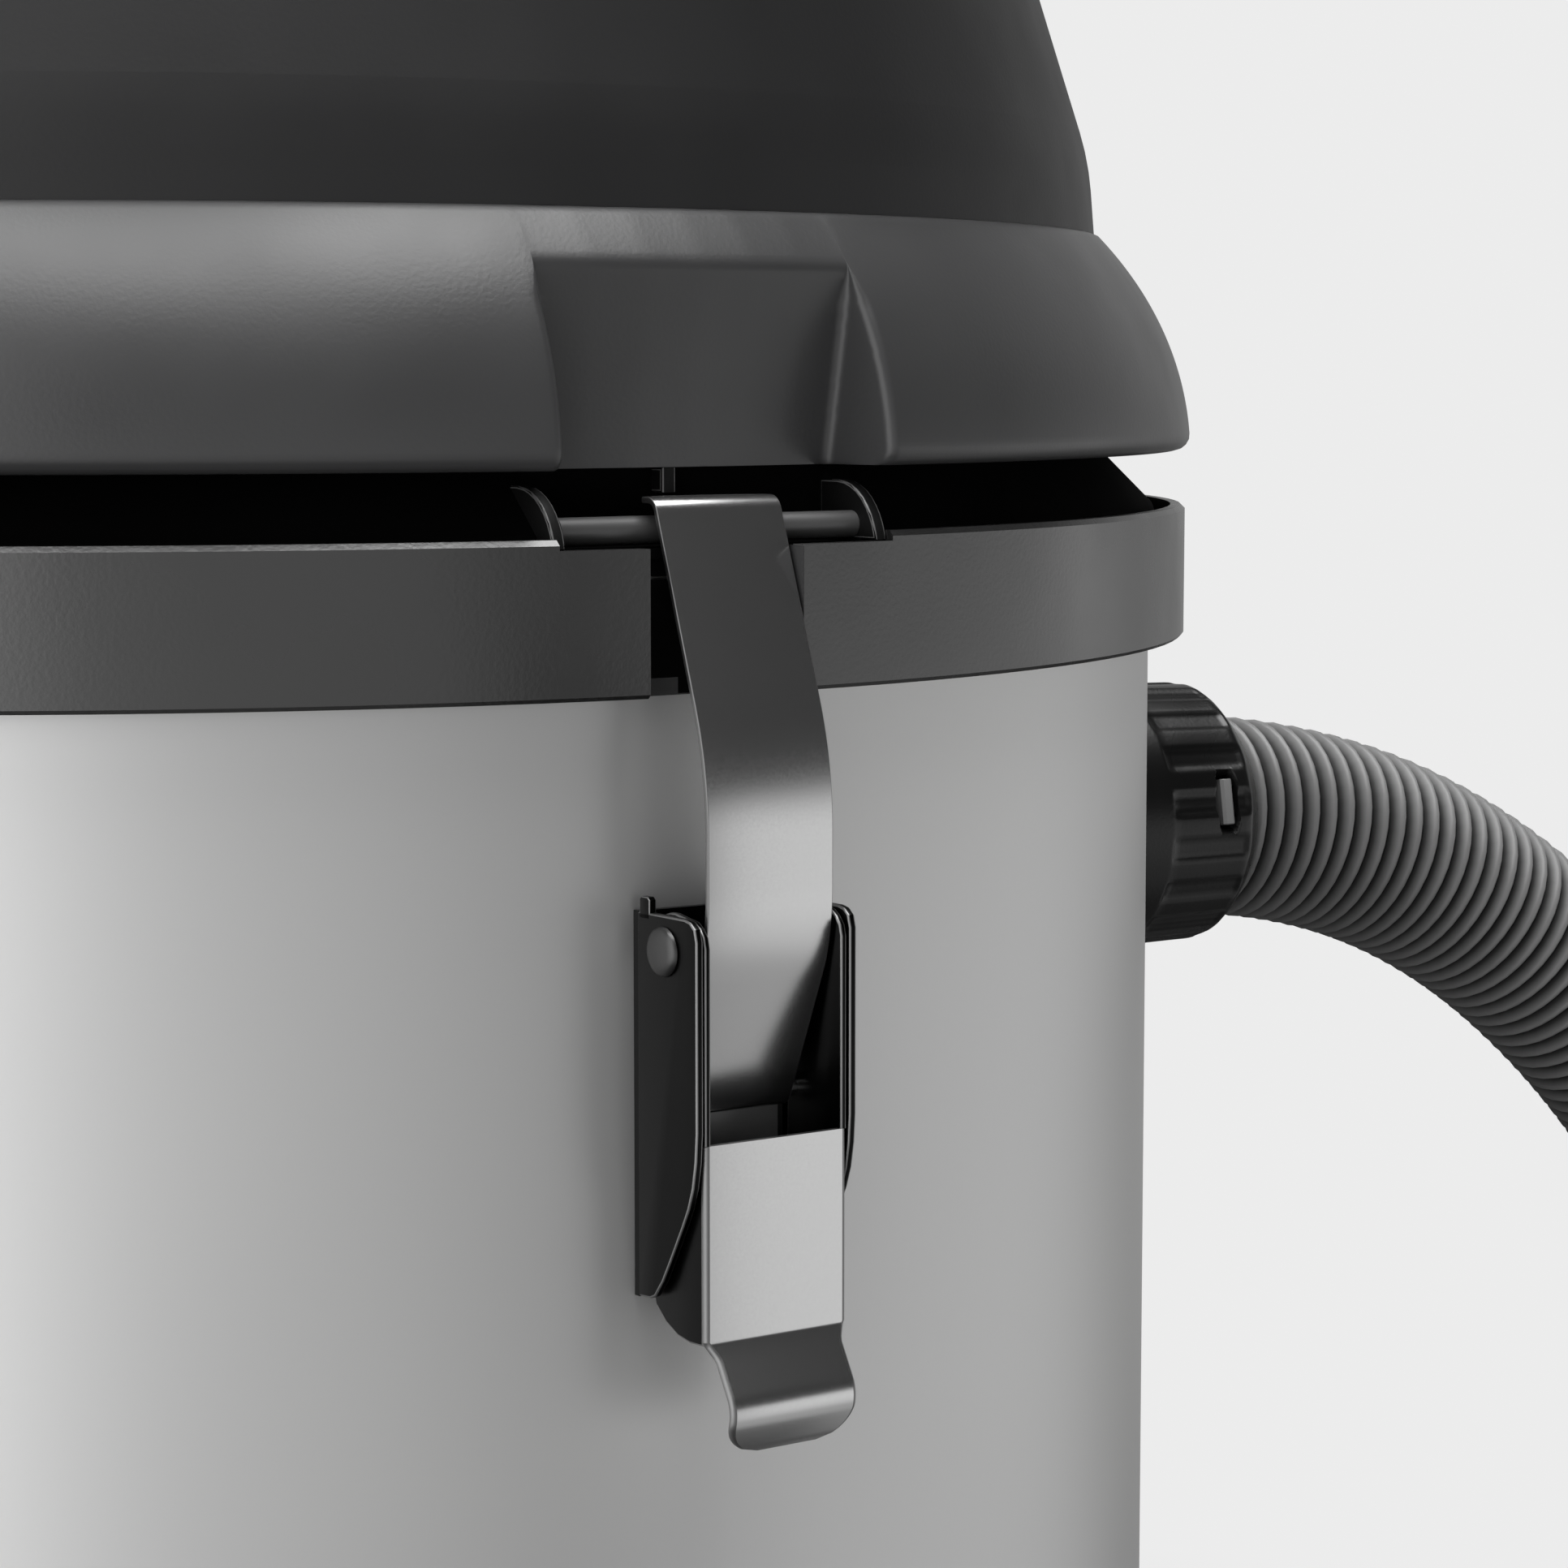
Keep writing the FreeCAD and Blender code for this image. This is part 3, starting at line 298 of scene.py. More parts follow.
def turned(piece, azimuth):
    """Turns a piece built facing +X to face the azimuth."""
    piece.data.transform(Matrix.Rotation(math.radians(azimuth - 90), 4, "Z"))
    return piece


# Latch, in millimetres from the drum's axis, built facing +X --------------------------------------------
LEVER_PIVOT = (187.2, 344.4)
STRAP_PIVOT = (183.3, 321.8)
STRAP_LEAN = 18.5           # degrees by which the strap's lower run leans in towards the drum
STRAP_HALF = 10.9           # half of the strap's width, then what it loses near its pin and at its hook
STRAP_TAIL_LOSS = 1.7
STRAP_HOOK_LOSS = 4.8
LEVER_SIDE = (11.4, 12.4)           # inner and outer face of each side, from the latch's middle
BRACKET_SIDE = (12.8, 14.0)
EAR_SIDE = (26.95, 29.05)
DRUM_SKIN = (180.03, 181.2)         # radii of a thin plate laid on the drum's wall
LEVER_PIN_HALF = [
    (1.9, 0.0), (1.9, 14.02), (3.5, 14.02), (3.6, 14.2), (3.45, 14.6), (3.0, 14.95), (2.2, 15.2),
    (1.1, 15.36),
]


def strap_piece(name):
    """The strap from its hook over the collar's pin, down to the eye rolled round its own pin."""
    lean = math.radians(STRAP_LEAN)
    curl = 1.75
    eye = Vector(STRAP_PIVOT)
    end = eye + Vector((math.cos(lean), -math.sin(lean))) * curl
    flat = 193.25
    knee = end.y + (flat - end.x) / math.tan(lean)
    corners = [(173.8, 406.4), (173.8, 407.75), (180.15, 407.75), (flat, 370.3), (flat, knee), end]
    path = rounded(corners, [0.9, 2.2, 55.0, 40.0], 12)
    for angle in np.linspace(0.3, 5.2, 18):
        path.append(eye + Vector((math.cos(-lean - angle), math.sin(-lean - angle))) * curl)

    def half_width(place, left):
        tail = clamped((342 - place.y) / 24)
        hook = clamped((177.4 - place.x) / 3.0) if place.y > 400 else 0.0
        return STRAP_HALF - STRAP_TAIL_LOSS * tail - STRAP_HOOK_LOSS * hook * hook * (3 - 2 * hook)

    return strip_piece(name, finer(path, 0.6), round_edged(0.9, 0.3, 0.16), half_width)


def lever_piece(name):
    """The lever: two sides, and a front sheet that ends in the finger tab."""
    n1, z1 = LEVER_PIVOT
    eye = 5.4
    outline = [(n1 - 5.2, z1 - 2)]
    outline += [(n1 + eye * math.cos(a), z1 + eye * math.sin(a)) for a in np.linspace(3.0, 1.5, 8)]
    outline += [
        (192.4, z1 + 4.6), (193.6, z1 + 3.8), (194.6, z1 + 2.6), (195.0, z1 + 1.0), (195.0, 317.4),
        (194.3, 316.9), (194.3, 288.6), (191.0, 288.5), (188.0, 289.0), (185.0, 290.4), (182.4, 292.6),
        (181.5, 296.0),
    ]
    cheeks = mirrored_plates(name, outline, *LEVER_SIDE)
    corners = [(194.5, 317.4), (194.5, 288.8), (199.8, 279.6), (197.0, 273.4)]
    path = finer(rounded(corners, [2.0, 5.0], 12), 0.7)

    def half_width(place, left):
        half = LEVER_SIDE[1] - 1.4 * clamped((289.2 - place.y) / 2.5)
        corner = 5.2
        inset = max(0.0, corner - left)
        return half - corner + math.sqrt(corner ** 2 - inset ** 2)

    web = strip_piece(name, path, round_edged(1.0, 0.25, 0.75, 6), half_width)
    # The front sheet's flats keep plain steel, while the sides' flats take the steel painted dark as a dark
    # reflection.
    for face in web.data.polygons:
        if face.material_index == 0:
            face.material_index = 2
    return joined(name, cheeks + [web])


def bracket_piece(name):
    """The bracket: two sides with a lug on each, and a back on the drum with an opening in it."""
    top, bottom = 349.5, 293.6
    outline = [
        (180.4, top), (192.2, top), (193.6, top - 0.3), (194.7, top - 1.2), (195.2, top - 3), (195.2, 319.4),
        (194.9, 315.2), (194.2, 311.4), (193.1, 308.3), (191.7, 305.6), (190.0, 302.6), (188.4, 299.8),
        (186.6, 296.8), (184.6, 294.3), (183.4, 293.8), (180.4, bottom),
    ]
    cheeks = mirrored_plates(name, outline, *BRACKET_SIDE)
    lug = [
        (181.0, top - 1), (183.5, top - 1), (183.5, top + 1.8), (183.0, top + 2.2), (181.4, top + 2.2),
        (181.0, top + 1.8),
    ]
    lugs = mirrored_plates(name, lug, *BRACKET_SIDE, 0.15)
    half, hole_half = 14.0, 11.2
    hole_bottom, hole_top = 314.0, 329.0
    skins = [
        skin_piece(name, -half, half, bottom, hole_bottom),
        skin_piece(name, -half, -hole_half, hole_bottom, hole_top),
        skin_piece(name, hole_half, half, hole_bottom, hole_top),
        skin_piece(name, -half, half, hole_top, top),
    ]
    return joined(name, cheeks + lugs + skins)


def skin_piece(name, y0, y1, z0, z1, radii=DRUM_SKIN):
    """A thin plate that follows the drum's wall."""
    inner, outer = radii
    across = np.linspace(y0, y1, 13)
    points = []
    for radius, z in ((inner, z0), (inner, z1), (outer, z1), (outer, z0)):
        points += [(math.sqrt(radius ** 2 - y ** 2), y, z) for y in across]
    count = len(across)
    faces = grid_faces(4, count, False)
    faces += [(3 * count + j, 3 * count + j + 1, j + 1, j) for j in range(count - 1)]
    faces += [(0, count, 2 * count, 3 * count), (count - 1, 2 * count - 1, 3 * count - 1, 4 * count - 1)]
    return finished(mesh_in_mm(name, points, faces))


def slot_shade_sheet(name):
    """A dull black sheet behind the strap's slot in the rim band, painted shade for the slot, and dull grey
    on the slot's right end.
    """
    back = skin_piece(name, -14.9, 11.15, 380.3, 396.6, (181.08, 181.2))
    corners = [(181.25, 380.4), (186.1, 380.4), (186.1, 401.0), (181.25, 401.0)]
    end = plate_piece(name, corners, 11.18, 11.28, 0.03)
    for face in end.data.polygons:
        face.material_index = 1
    return joined(name, [back, end])


def pin_piece(name, centre, half_length, profile, sides=40):
    """A turned pin across the latch, its right half from (radius, distance from the middle) points."""
    profile = list(profile) + [(0.0, half_length)]
    rows = [(r, -d) for r, d in reversed(profile)] + profile
    points = []
    for radius, distance in rows:
        for j in range(sides):
            angle = 2 * math.pi * j / sides
            across, up = radius * math.cos(angle), radius * math.sin(angle)
            points.append((centre[0] + across, distance, centre[1] + up))
    return finished(mesh_in_mm(name, points, grid_faces(len(rows), sides, True)))


def collar_ears(name):
    """The two thin fins that carry the hook pin, and the small stop between them."""
    fin = [
        (168.7, 409.95), (173.0, 409.95), (174.8, 409.7), (176.2, 409.25), (177.7, 408.5), (179.0, 407.5),
        (180.1, 406.3), (181.0, 405.0), (181.7, 403.6), (182.15, 402.3), (182.35, 401.35), (168.7, 401.35),
    ]
    stop = [(167.4, 408.5), (171.1, 408.5), (171.1, 412.1), (167.4, 412.1)]
    fins = mirrored_plates(name, fin, *EAR_SIDE, 0.35)
    return joined(name, fins + [plate_piece(name, stop, -3.25, -0.65, 0.4)])


# Skirt ------------------------------------------------------------------------------------------------
SKIRT_BOTTOM = 412.2
POCKET_HALF = 27.0
POCKET_TURN = 0.19          # half of a pocket's share of the circle, in radians
POCKET_FOOT = 172.4         # radius of a pocket's back at the skirt's bottom
POCKET_STEPS = 80
PLAIN_STEPS = 150


def skirt_piece():
    """Bulging ring with a soft-edged pocket above each latch, built level by level."""
    heights = [449.3, 447.2, 442.2, 436.6, 430.9, 424.2, 417.6, 414.6]
    radii = [170.4, 172.6, 176.4, 180.1, 183.0, 185.2, 186.6, 186.9]
    belly = np.polynomial.Polynomial.fit(heights, radii, 4)
    shoulder = [(150.0, 449.3), (169.9, 449.3)]
    shoulder += [(float(belly(z)), z) for z in np.linspace(448.9, 415.0, 40)]
    shoulder += [(186.8, 414.0), (186.3, 413.1), (185.6, 412.5), (184.6, SKIRT_BOTTOM)]
    shoulder.append((182.0, SKIRT_BOTTOM))
    points = []
    for radius, z in shoulder:
        points += [(x, y, z) for x, y in skirt_level(radius, z)]
    columns = len(points) // len(shoulder)
    for radius, z in ((166.0, SKIRT_BOTTOM), (166.0, 440.0), (150.0, 444.0)):
        points += [(radius * math.cos(a), radius * math.sin(a), z) for a in level_angles()]
    rows = len(points) // columns
    faces = grid_faces(rows, columns, True) + closing_faces(rows, columns)
    return finished(mesh_in_mm("skirt_shell", points, faces), SOFT_SHARP_ANGLE)


def plain_sweeps():
    first, second = (math.radians(azimuth) for azimuth in LATCH_AZIMUTHS.values())
    return [second - first - 2 * POCKET_TURN, 2 * math.pi - (second - first) - 2 * POCKET_TURN]


def level_angles():
    """The angles about Z of a plain level's points, in a pocketed level's order."""
    angles = []
    for azimuth, sweep in zip(LATCH_AZIMUTHS.values(), plain_sweeps()):
        middle = math.radians(azimuth - 90)
        angles += [middle + POCKET_TURN * (2 * k / POCKET_STEPS - 1) for k in range(POCKET_STEPS)]
        angles += [middle + POCKET_TURN + sweep * k / PLAIN_STEPS for k in range(PLAIN_STEPS)]
    return angles


def skirt_level(radius, z):
    """One level's outline: two pockets, and the plain arcs between them."""
    if radius < 165:
        return [on_circle(radius, angle) for angle in level_angles()]
    outline = []
    for azimuth, sweep in zip(LATCH_AZIMUTHS.values(), plain_sweeps()):
        middle = math.radians(azimuth - 90)
        outline += [Matrix.Rotation(middle, 2) @ point for point in pocket_level(radius, z)]
        start = middle + POCKET_TURN
        outline += [on_circle(radius, start + sweep * k / PLAIN_STEPS) for k in range(PLAIN_STEPS)]
    return outline


def on_circle(radius, angle):
    return Vector((radius * math.cos(angle), radius * math.sin(angle)))


def pocket_level(radius, z):
    """A pocket's outline at one level, facing +X. Its back leans out and meets the ring near the top."""
    depth = radius - (POCKET_FOOT + 4.6 * (z - SKIRT_BOTTOM) / 28)
    if depth < 0.9:
        depth = max(0.0, depth + 0.9) ** 2 / 3.6 + 0.004
    back = radius - depth
    splay = 0.087
    lip_y = POCKET_HALF + splay * max(0.0, radius - POCKET_FOOT)
    back_y = POCKET_HALF + splay * max(0.0, back - POCKET_FOOT)
    lip = on_circle(radius, math.asin(lip_y / radius))
    turn = math.asin(back_y / back)
    corner = on_circle(back, turn)
    shoulder = on_circle(radius, 0.5 * (POCKET_TURN + math.asin(lip_y / radius)))
    soft = min(1.7, 0.4 * (lip - corner).length)
    path = [on_circle(radius, POCKET_TURN)]
    path += rounded([shoulder, lip, corner, on_circle(back, turn * 0.67)], [soft, soft], 8)
    path += [on_circle(back, turn * 0.33), on_circle(back, 0.0)]
    half = resampled(path, POCKET_STEPS // 2)
    mirrored = [Vector((p.x, -p.y)) for p in half]
    return mirrored + half[::-1][1:-1]


def resampled(path, count):
    """The path with a set number of points, the extra ones on its longest runs."""
    lengths = [(b - a).length for a, b in zip(path, path[1:])]
    shares = [1] * len(lengths)
    for _ in range(count - len(lengths)):
        longest = max(range(len(lengths)), key=lambda k: lengths[k] / shares[k])
        shares[longest] += 1
    points = [path[0]]
    for a, b, share in zip(path, path[1:], shares):
        points += [a.lerp(b, (k + 1) / share) for k in range(share)]
    return points


# Connector ----------------------------------------------------------------------------------------------
WINDOW_TURNS = (math.radians(170), math.radians(-10))
WINDOW_Y = -219.4
WINDOW_DEPTH = 3.4


def connector_piece():
    """Bayonet end of the hose: a plain collar, a fluted grip with a window each side, and a soft nose."""
    flutes, columns = 18, 252
    inlet = INLET_Z / MM
    rows = [(-164.0, 17.0), (-164.0, 19.9), (-193.2, 19.9), (-193.2, 26.4), (-193.6, 26.9), (-194.2, 27.1)]
    rows += [(y, 27.1) for y in (-198.0, -202.0, -205.2, -205.6, -206.0, -206.5, -208.0, -211.0, -214.0)]
    rows += [(y, 27.1) for y in np.linspace(-215.8, -223.4, 30)]
    rows += [(-224.0, 27.05), (-224.6, 26.9), (-225.2, 26.6), (-226.0, 25.9), (-227.2, 24.8), (-228.3, 23.7)]
    rows += [(-229.1, 22.7), (-229.5, 22.0), (-229.6, 21.5), (-229.4, 21.0), (-229.0, 20.8)]
    rows += [(-204.0, 20.8), (-204.0, 17.0), (-190.0, 17.0)]
    points, window = [], []
    for i, (y, radius) in enumerate(rows):
        outside = 3 <= i < len(rows) - 6 and radius > 22
        taper = 0.35 * smoothstep(-y, 205.0, 226.0) if outside else 0.0
        for j in range(columns):
            angle = 2 * math.pi * j / columns
            depth = taper
            if outside:
                valley = abs((j * flutes / columns) % 1.0 - 0.5) * 2
                grip = smoothstep(-y, 205.6, 206.8) * smoothstep(y, -225.6, -223.6)
                depth += grip * (0.15 + 0.65 * smoothstep(valley, 0.62, 0.30))
            off = min(abs((angle - turn + math.pi) % (2 * math.pi) - math.pi) for turn in WINDOW_TURNS)
            away = ((abs(y - WINDOW_Y) / 2.4) ** 4 + (off * radius / 6.2) ** 4) ** 0.25
            hole = smoothstep(away, 1.10, 0.92) if outside else 0.0
            window.append(hole)
            r = radius - depth - WINDOW_DEPTH * hole
            points.append((r * math.cos(angle), y, inlet + r * math.sin(angle)))
    faces = grid_faces(len(rows), columns, True) + closing_faces(len(rows), columns)
    piece = mesh_in_mm("connector_grip", points, faces)
    # The windows' floors take the second material, near black: painted shade in the recesses.
    for face in piece.data.polygons:
        if min(window[k] for k in face.vertices) > 0.2:
            face.material_index = 1
    return finished(piece, SOFT_SHARP_ANGLE)


def window_key_piece():
    """The grey tongue of the hose end, seen through each window."""
    tongues = []
    corners = [
        (22.0, -221.2), (25.4, -221.2), (25.7, -220.8), (25.7, -219.2), (25.2, -218.6), (22.0, -218.6),
    ]
    lay_along_y = Matrix(((1, 0, 0, 0), (0, 0, 1, 0), (0, -1, 0, 0), (0, 0, 0, 1)))
    for turn in WINDOW_TURNS:
        tongue = plate_piece("hose_end_tongue", corners, -4.6, 4.6, 0.25)
        tongue.data.transform(lay_along_y)
        tongue.data.transform(Matrix.Rotation(-turn, 4, "Y"))
        tongue.data.transform(Matrix.Translation((0, 0, INLET_Z)))
        tongues.append(tongue)
    return joined("hose_end_tongue", tongues)


# Materials -------------------------------------------------------------------------------------------
def new_material(name):
    material = bpy.data.materials.new(name)
    material.use_nodes = True
    tree = material.node_tree
    return material, tree, tree.nodes["Principled BSDF"]


def add(tree, kind, **settings):
    node = tree.nodes.new(kind)
    for key, value in settings.items():
        if key in node.inputs:
            node.inputs[key].default_value = value
        else:
            setattr(node, key, value)
    return node


def grey(level):
    return (level, level, level)


def noise(tree, scale, detail=3.0):
    place = add(tree, "ShaderNodeTexCoord")
    texture = add(tree, "ShaderNodeTexNoise")
    texture.inputs["Scale"].default_value = scale
    texture.inputs["Detail"].default_value = detail
    tree.links.new(place.outputs["Object"], texture.inputs["Vector"])
    return texture.outputs["Fac"]


def ramp(tree, value, low, high, start=0.3, end=0.7):
    node = add(tree, "ShaderNodeMapRange")
    node.inputs["From Min"].default_value = start
    node.inputs["From Max"].default_value = end
    node.inputs["To Min"].default_value = low
    node.inputs["To Max"].default_value = high
    tree.links.new(value, node.inputs["Value"])
    return node.outputs[0]


def smooth(tree, value, start, end):
    node = add(tree, "ShaderNodeMapRange", interpolation_type="SMOOTHSTEP")
    node.inputs["From Min"].default_value = start
    node.inputs["From Max"].default_value = end
    tree.links.new(value, node.inputs["Value"])
    return node.outputs[0]


def maths(tree, operation, first, second=None):
    node = add(tree, "ShaderNodeMath", operation=operation)
    for socket, value in zip(node.inputs, (first, second)):
        if isinstance(value, (int, float)):
            socket.default_value = value
        elif value is not None:
            tree.links.new(value, socket)
    return node.outputs[0]


def tint(tree, value, dark, light, start=0.3, end=0.7):
    mix = add(tree, "ShaderNodeMix", data_type="RGBA")
    mix.inputs[6].default_value = (*dark, 1)
    mix.inputs[7].default_value = (*light, 1)
    tree.links.new(ramp(tree, value, 0, 1, start, end), mix.inputs[0])
    return mix.outputs[2]


def bump(tree, shader, height, strength, distance):
    node = add(tree, "ShaderNodeBump")
    node.inputs["Strength"].default_value = strength
    node.inputs["Distance"].default_value = distance
    tree.links.new(height, node.inputs["Height"])
    tree.links.new(node.outputs[0], shader.inputs["Normal"])


def moulded_plastic(name, dark, light, roughness, specular=0.5, ior=1.5):
    """Plastic with faint clouds in its colour and gloss, and a very fine moulded grain."""
    material, tree, shader = new_material(name)
    cloudy = noise(tree, 9.0, 4.0)
    grain = noise(tree, 1400.0, 2.0)
    gloss = ramp(tree, noise(tree, 35.0), roughness - 0.04, roughness + 0.05)
    tree.links.new(tint(tree, cloudy, dark, light), shader.inputs["Base Color"])
    tree.links.new(gloss, shader.inputs["Roughness"])
    shader.inputs["Specular IOR Level"].default_value = specular
    shader.inputs["IOR"].default_value = ior
    bump(tree, shader, grain, 0.12, 0.0002)
    return material


def ribbed_plastic(name, crest, groove, roughness):
    """Hose plastic painted darker towards the bottom of its grooves: painted shade in the grooves."""
    material, tree, shader = new_material(name)
    depth = add(tree, "ShaderNodeAttribute", attribute_name="groove")
    cloudy = noise(tree, 30.0, 3.0)
    colour = tint(tree, depth.outputs["Fac"], crest, groove, 0.0, 1.0)
    dull = add(tree, "ShaderNodeMix", data_type="RGBA", blend_type="MULTIPLY")
    dull.inputs[0].default_value = 1.0
    tree.links.new(colour, dull.inputs[6])
    tree.links.new(tint(tree, cloudy, grey(0.88), grey(1.0)), dull.inputs[7])
    tree.links.new(dull.outputs[2], shader.inputs["Base Color"])
    for socket, at_crest, in_groove in (("Roughness", roughness, 0.8), ("Specular IOR Level", 0.5, 0.05)):
        blend = ramp(tree, depth.outputs["Fac"], at_crest, in_groove, 0.0, 1.0)
        tree.links.new(blend, shader.inputs[socket])
    bump(tree, shader, noise(tree, 1800.0, 2.0), 0.08, 0.0001)
    return material


def satin_steel(name, dark, light, roughness, metallic):
    """Rolled steel: a very fine grain, with faint clouds in its gloss."""
    material, tree, shader = new_material(name)
    cloudy = noise(tree, 7.0, 2.0)
    grain = noise(tree, 2600.0, 2.0)
    tree.links.new(tint(tree, cloudy, dark, light), shader.inputs["Base Color"])
    clouds = ramp(tree, cloudy, -0.01, 0.01)
    gloss = maths(tree, "ADD", clouds, ramp(tree, grain, roughness - 0.02, roughness + 0.02))
    tree.links.new(gloss, shader.inputs["Roughness"])
    shader.inputs["Metallic"].default_value = metallic
    bump(tree, shader, grain, 0.03, 0.00005)
    return material


# Camera, stage and light -----------------------------------------------------------------------------
CAMERA_AZIMUTH = -118.9             # from the drum's axis to the camera, measured like the latches' azimuths
CAMERA_PLACE = (-0.6934, 0.2510, 0.427)
CAMERA_DIP = 5.904                  # degrees below level
CAMERA_LENS = 93.3
FLOOR_PAINT = 0.42
BACKDROP_LEVEL = 0.84
BACKDROP_START = (0.35, 0.75)       # distance from the object over which the paint turns into the backdrop


def make_camera():
    data = bpy.data.cameras.new("camera")
    data.sensor_width = 36.0
    data.lens = CAMERA_LENS
    data.clip_start = 0.01
    data.clip_end = 200.0
    camera = bpy.data.objects.new("camera", data)
    camera.location = CAMERA_PLACE
    turn = math.radians(CAMERA_AZIMUTH)
    down = math.radians(CAMERA_DIP)
    aim = Vector((-math.sin(turn) * math.cos(down), math.cos(turn) * math.cos(down), -math.sin(down)))
    camera.rotation_euler = aim.to_track_quat("-Z", "Y").to_euler()
    bpy.context.scene.collection.objects.link(camera)
    bpy.context.scene.camera = camera


def make_stage():
    """A round floor that curves up into a plain backdrop."""
    sides, reach, cove, wall_top = 96, 12.0, 3.0, 12.0
    rings, cove_steps = 12, 8
    outline = [(reach * i / rings, 0.0) for i in range(1, rings + 1)]
    for i in range(1, cove_steps + 1):
        angle = math.pi / 2 * i / cove_steps
        outline.append((reach + cove * math.sin(angle), cove - cove * math.cos(angle)))
    outline.append((reach + cove, wall_top))
    points = [(0.0, 0.0, 0.0)]
    for r, z in outline:
        for j in range(sides):
            angle = 2 * math.pi * j / sides
            points.append((r * math.cos(angle), r * math.sin(angle), z))
    faces = [(0, 1 + j, 1 + (j + 1) % sides) for j in range(sides)]
    for i in range(len(outline) - 1):
        for j in range(sides):
            a, b = 1 + i * sides + j, 1 + i * sides + (j + 1) % sides
            faces.append((a, a + sides, b + sides, b))
    stage = mesh_object("stage", points, faces)
    stage.data.materials.append(stage_paint())
    stage.visible_diffuse = False
    stage.visible_glossy = False
    stage.visible_shadow = False


def stage_paint():
    """Pale paint round the object, which turns into an evenly lit backdrop further out."""
    material, tree, shader = new_material("stage_paint")
    shader.inputs["Base Color"].default_value = (*grey(FLOOR_PAINT), 1)
    shader.inputs["Roughness"].default_value = 1.0
    shader.inputs["Specular IOR Level"].default_value = 0.0
    place = add(tree, "ShaderNodeTexCoord")
    reach = add(tree, "ShaderNodeVectorMath", operation="LENGTH")
    tree.links.new(place.outputs["Object"], reach.inputs[0])
    glow = add(tree, "ShaderNodeEmission")
    glow.inputs["Color"].default_value = (*grey(BACKDROP_LEVEL), 1)
    mix = add(tree, "ShaderNodeMixShader")
    tree.links.new(ramp(tree, reach.outputs["Value"], 0.0, 1.0, *BACKDROP_START), mix.inputs[0])
    tree.links.new(shader.outputs[0], mix.inputs[1])
    tree.links.new(glow.outputs[0], mix.inputs[2])
    tree.links.new(mix.outputs[0], tree.nodes["Material Output"].inputs["Surface"])
    return material


def softbox(tree, direction, height, azimuth, width, low, high, fade, level):
    """A soft rectangle of light on the sky, by azimuth from the inlet and elevation, in degrees."""
    turn = math.radians(azimuth)
    across = add(tree, "ShaderNodeVectorMath", operation="DOT_PRODUCT")
    across.inputs[1].default_value = (math.sin(turn), -math.cos(turn), 0)
    tree.links.new(direction, across.inputs[0])
    flat = maths(tree, "SQRT", maths(tree, "SUBTRACT", 1.0, maths(tree, "POWER", height, 2)))
    facing = maths(tree, "DIVIDE", across.outputs["Value"], maths(tree, "MAXIMUM", flat, 0.05))
    inner = math.cos(math.radians(max(width - fade, 0)))
    outer = math.cos(math.radians(width + fade))
    sideways = smooth(tree, facing, outer, inner)

    def sky_height(elevation):
        return math.sin(math.radians(elevation))

    bottom = smooth(tree, height, sky_height(low - fade), sky_height(low + fade))
    top = smooth(tree, height, sky_height(high + fade / 2), sky_height(high - fade / 2))
    below = maths(tree, "MULTIPLY", sideways, bottom)
    return maths(tree, "MULTIPLY", below, maths(tree, "MULTIPLY", top, level))


# Light that rises or falls with the sky's height (1 is straight up): where it starts, where it is full, level
SKY_BANDS = [
    ("ADD", -0.5, 0.1, 0.035),          # a little light from everywhere
    ("ADD", -0.30, -0.70, 0.07),        # light thrown back by the floor
    ("ADD", 0.80, 0.95, 8.0),           # the overhead box
    ("SUBTRACT", 0.955, 0.985, 6.0),    # its dimmed centre, which keeps flat tops from burning out
]
# Soft boxes: degrees from the camera, half width, bottom and top, fade, level
SOFT_BOXES = [
    (-38, 33, -32, 45, 9, 1.65),        # tall key light
    (22, 24, -40, 16, 8, 0.55),         # low fill on the other side of the camera
    (95, 36, -24, 2, 9, 0.74),          # side light, and a weaker one under it
    (95, 36, -48, -22, 10, 0.34),
    (155, 28, -15, 26, 16, 0.42),       # light from behind
]


def make_world():
    """A studio with an overhead box that is dimmer in its middle, and five soft boxes round the object."""
    world = bpy.data.worlds.new("studio")
    bpy.context.scene.world = world
    world.use_nodes = True
    tree = world.node_tree
    place = add(tree, "ShaderNodeTexCoord")
    split = add(tree, "ShaderNodeSeparateXYZ")
    tree.links.new(place.outputs["Generated"], split.inputs[0])
    direction, height = place.outputs["Generated"], split.outputs["Z"]
    total = 0.0
    for operation, start, full, level in SKY_BANDS:
        band = maths(tree, "MULTIPLY", smooth(tree, height, start, full), level)
        total = maths(tree, operation, total, band)
    for turn, *box in SOFT_BOXES:
        light = softbox(tree, direction, height, CAMERA_AZIMUTH + turn, *box)
        total = maths(tree, "ADD", total, light)
    tree.links.new(total, tree.nodes["Background"].inputs["Strength"])
    tree.nodes["Background"].inputs["Color"].default_value = (1, 1, 1, 1)


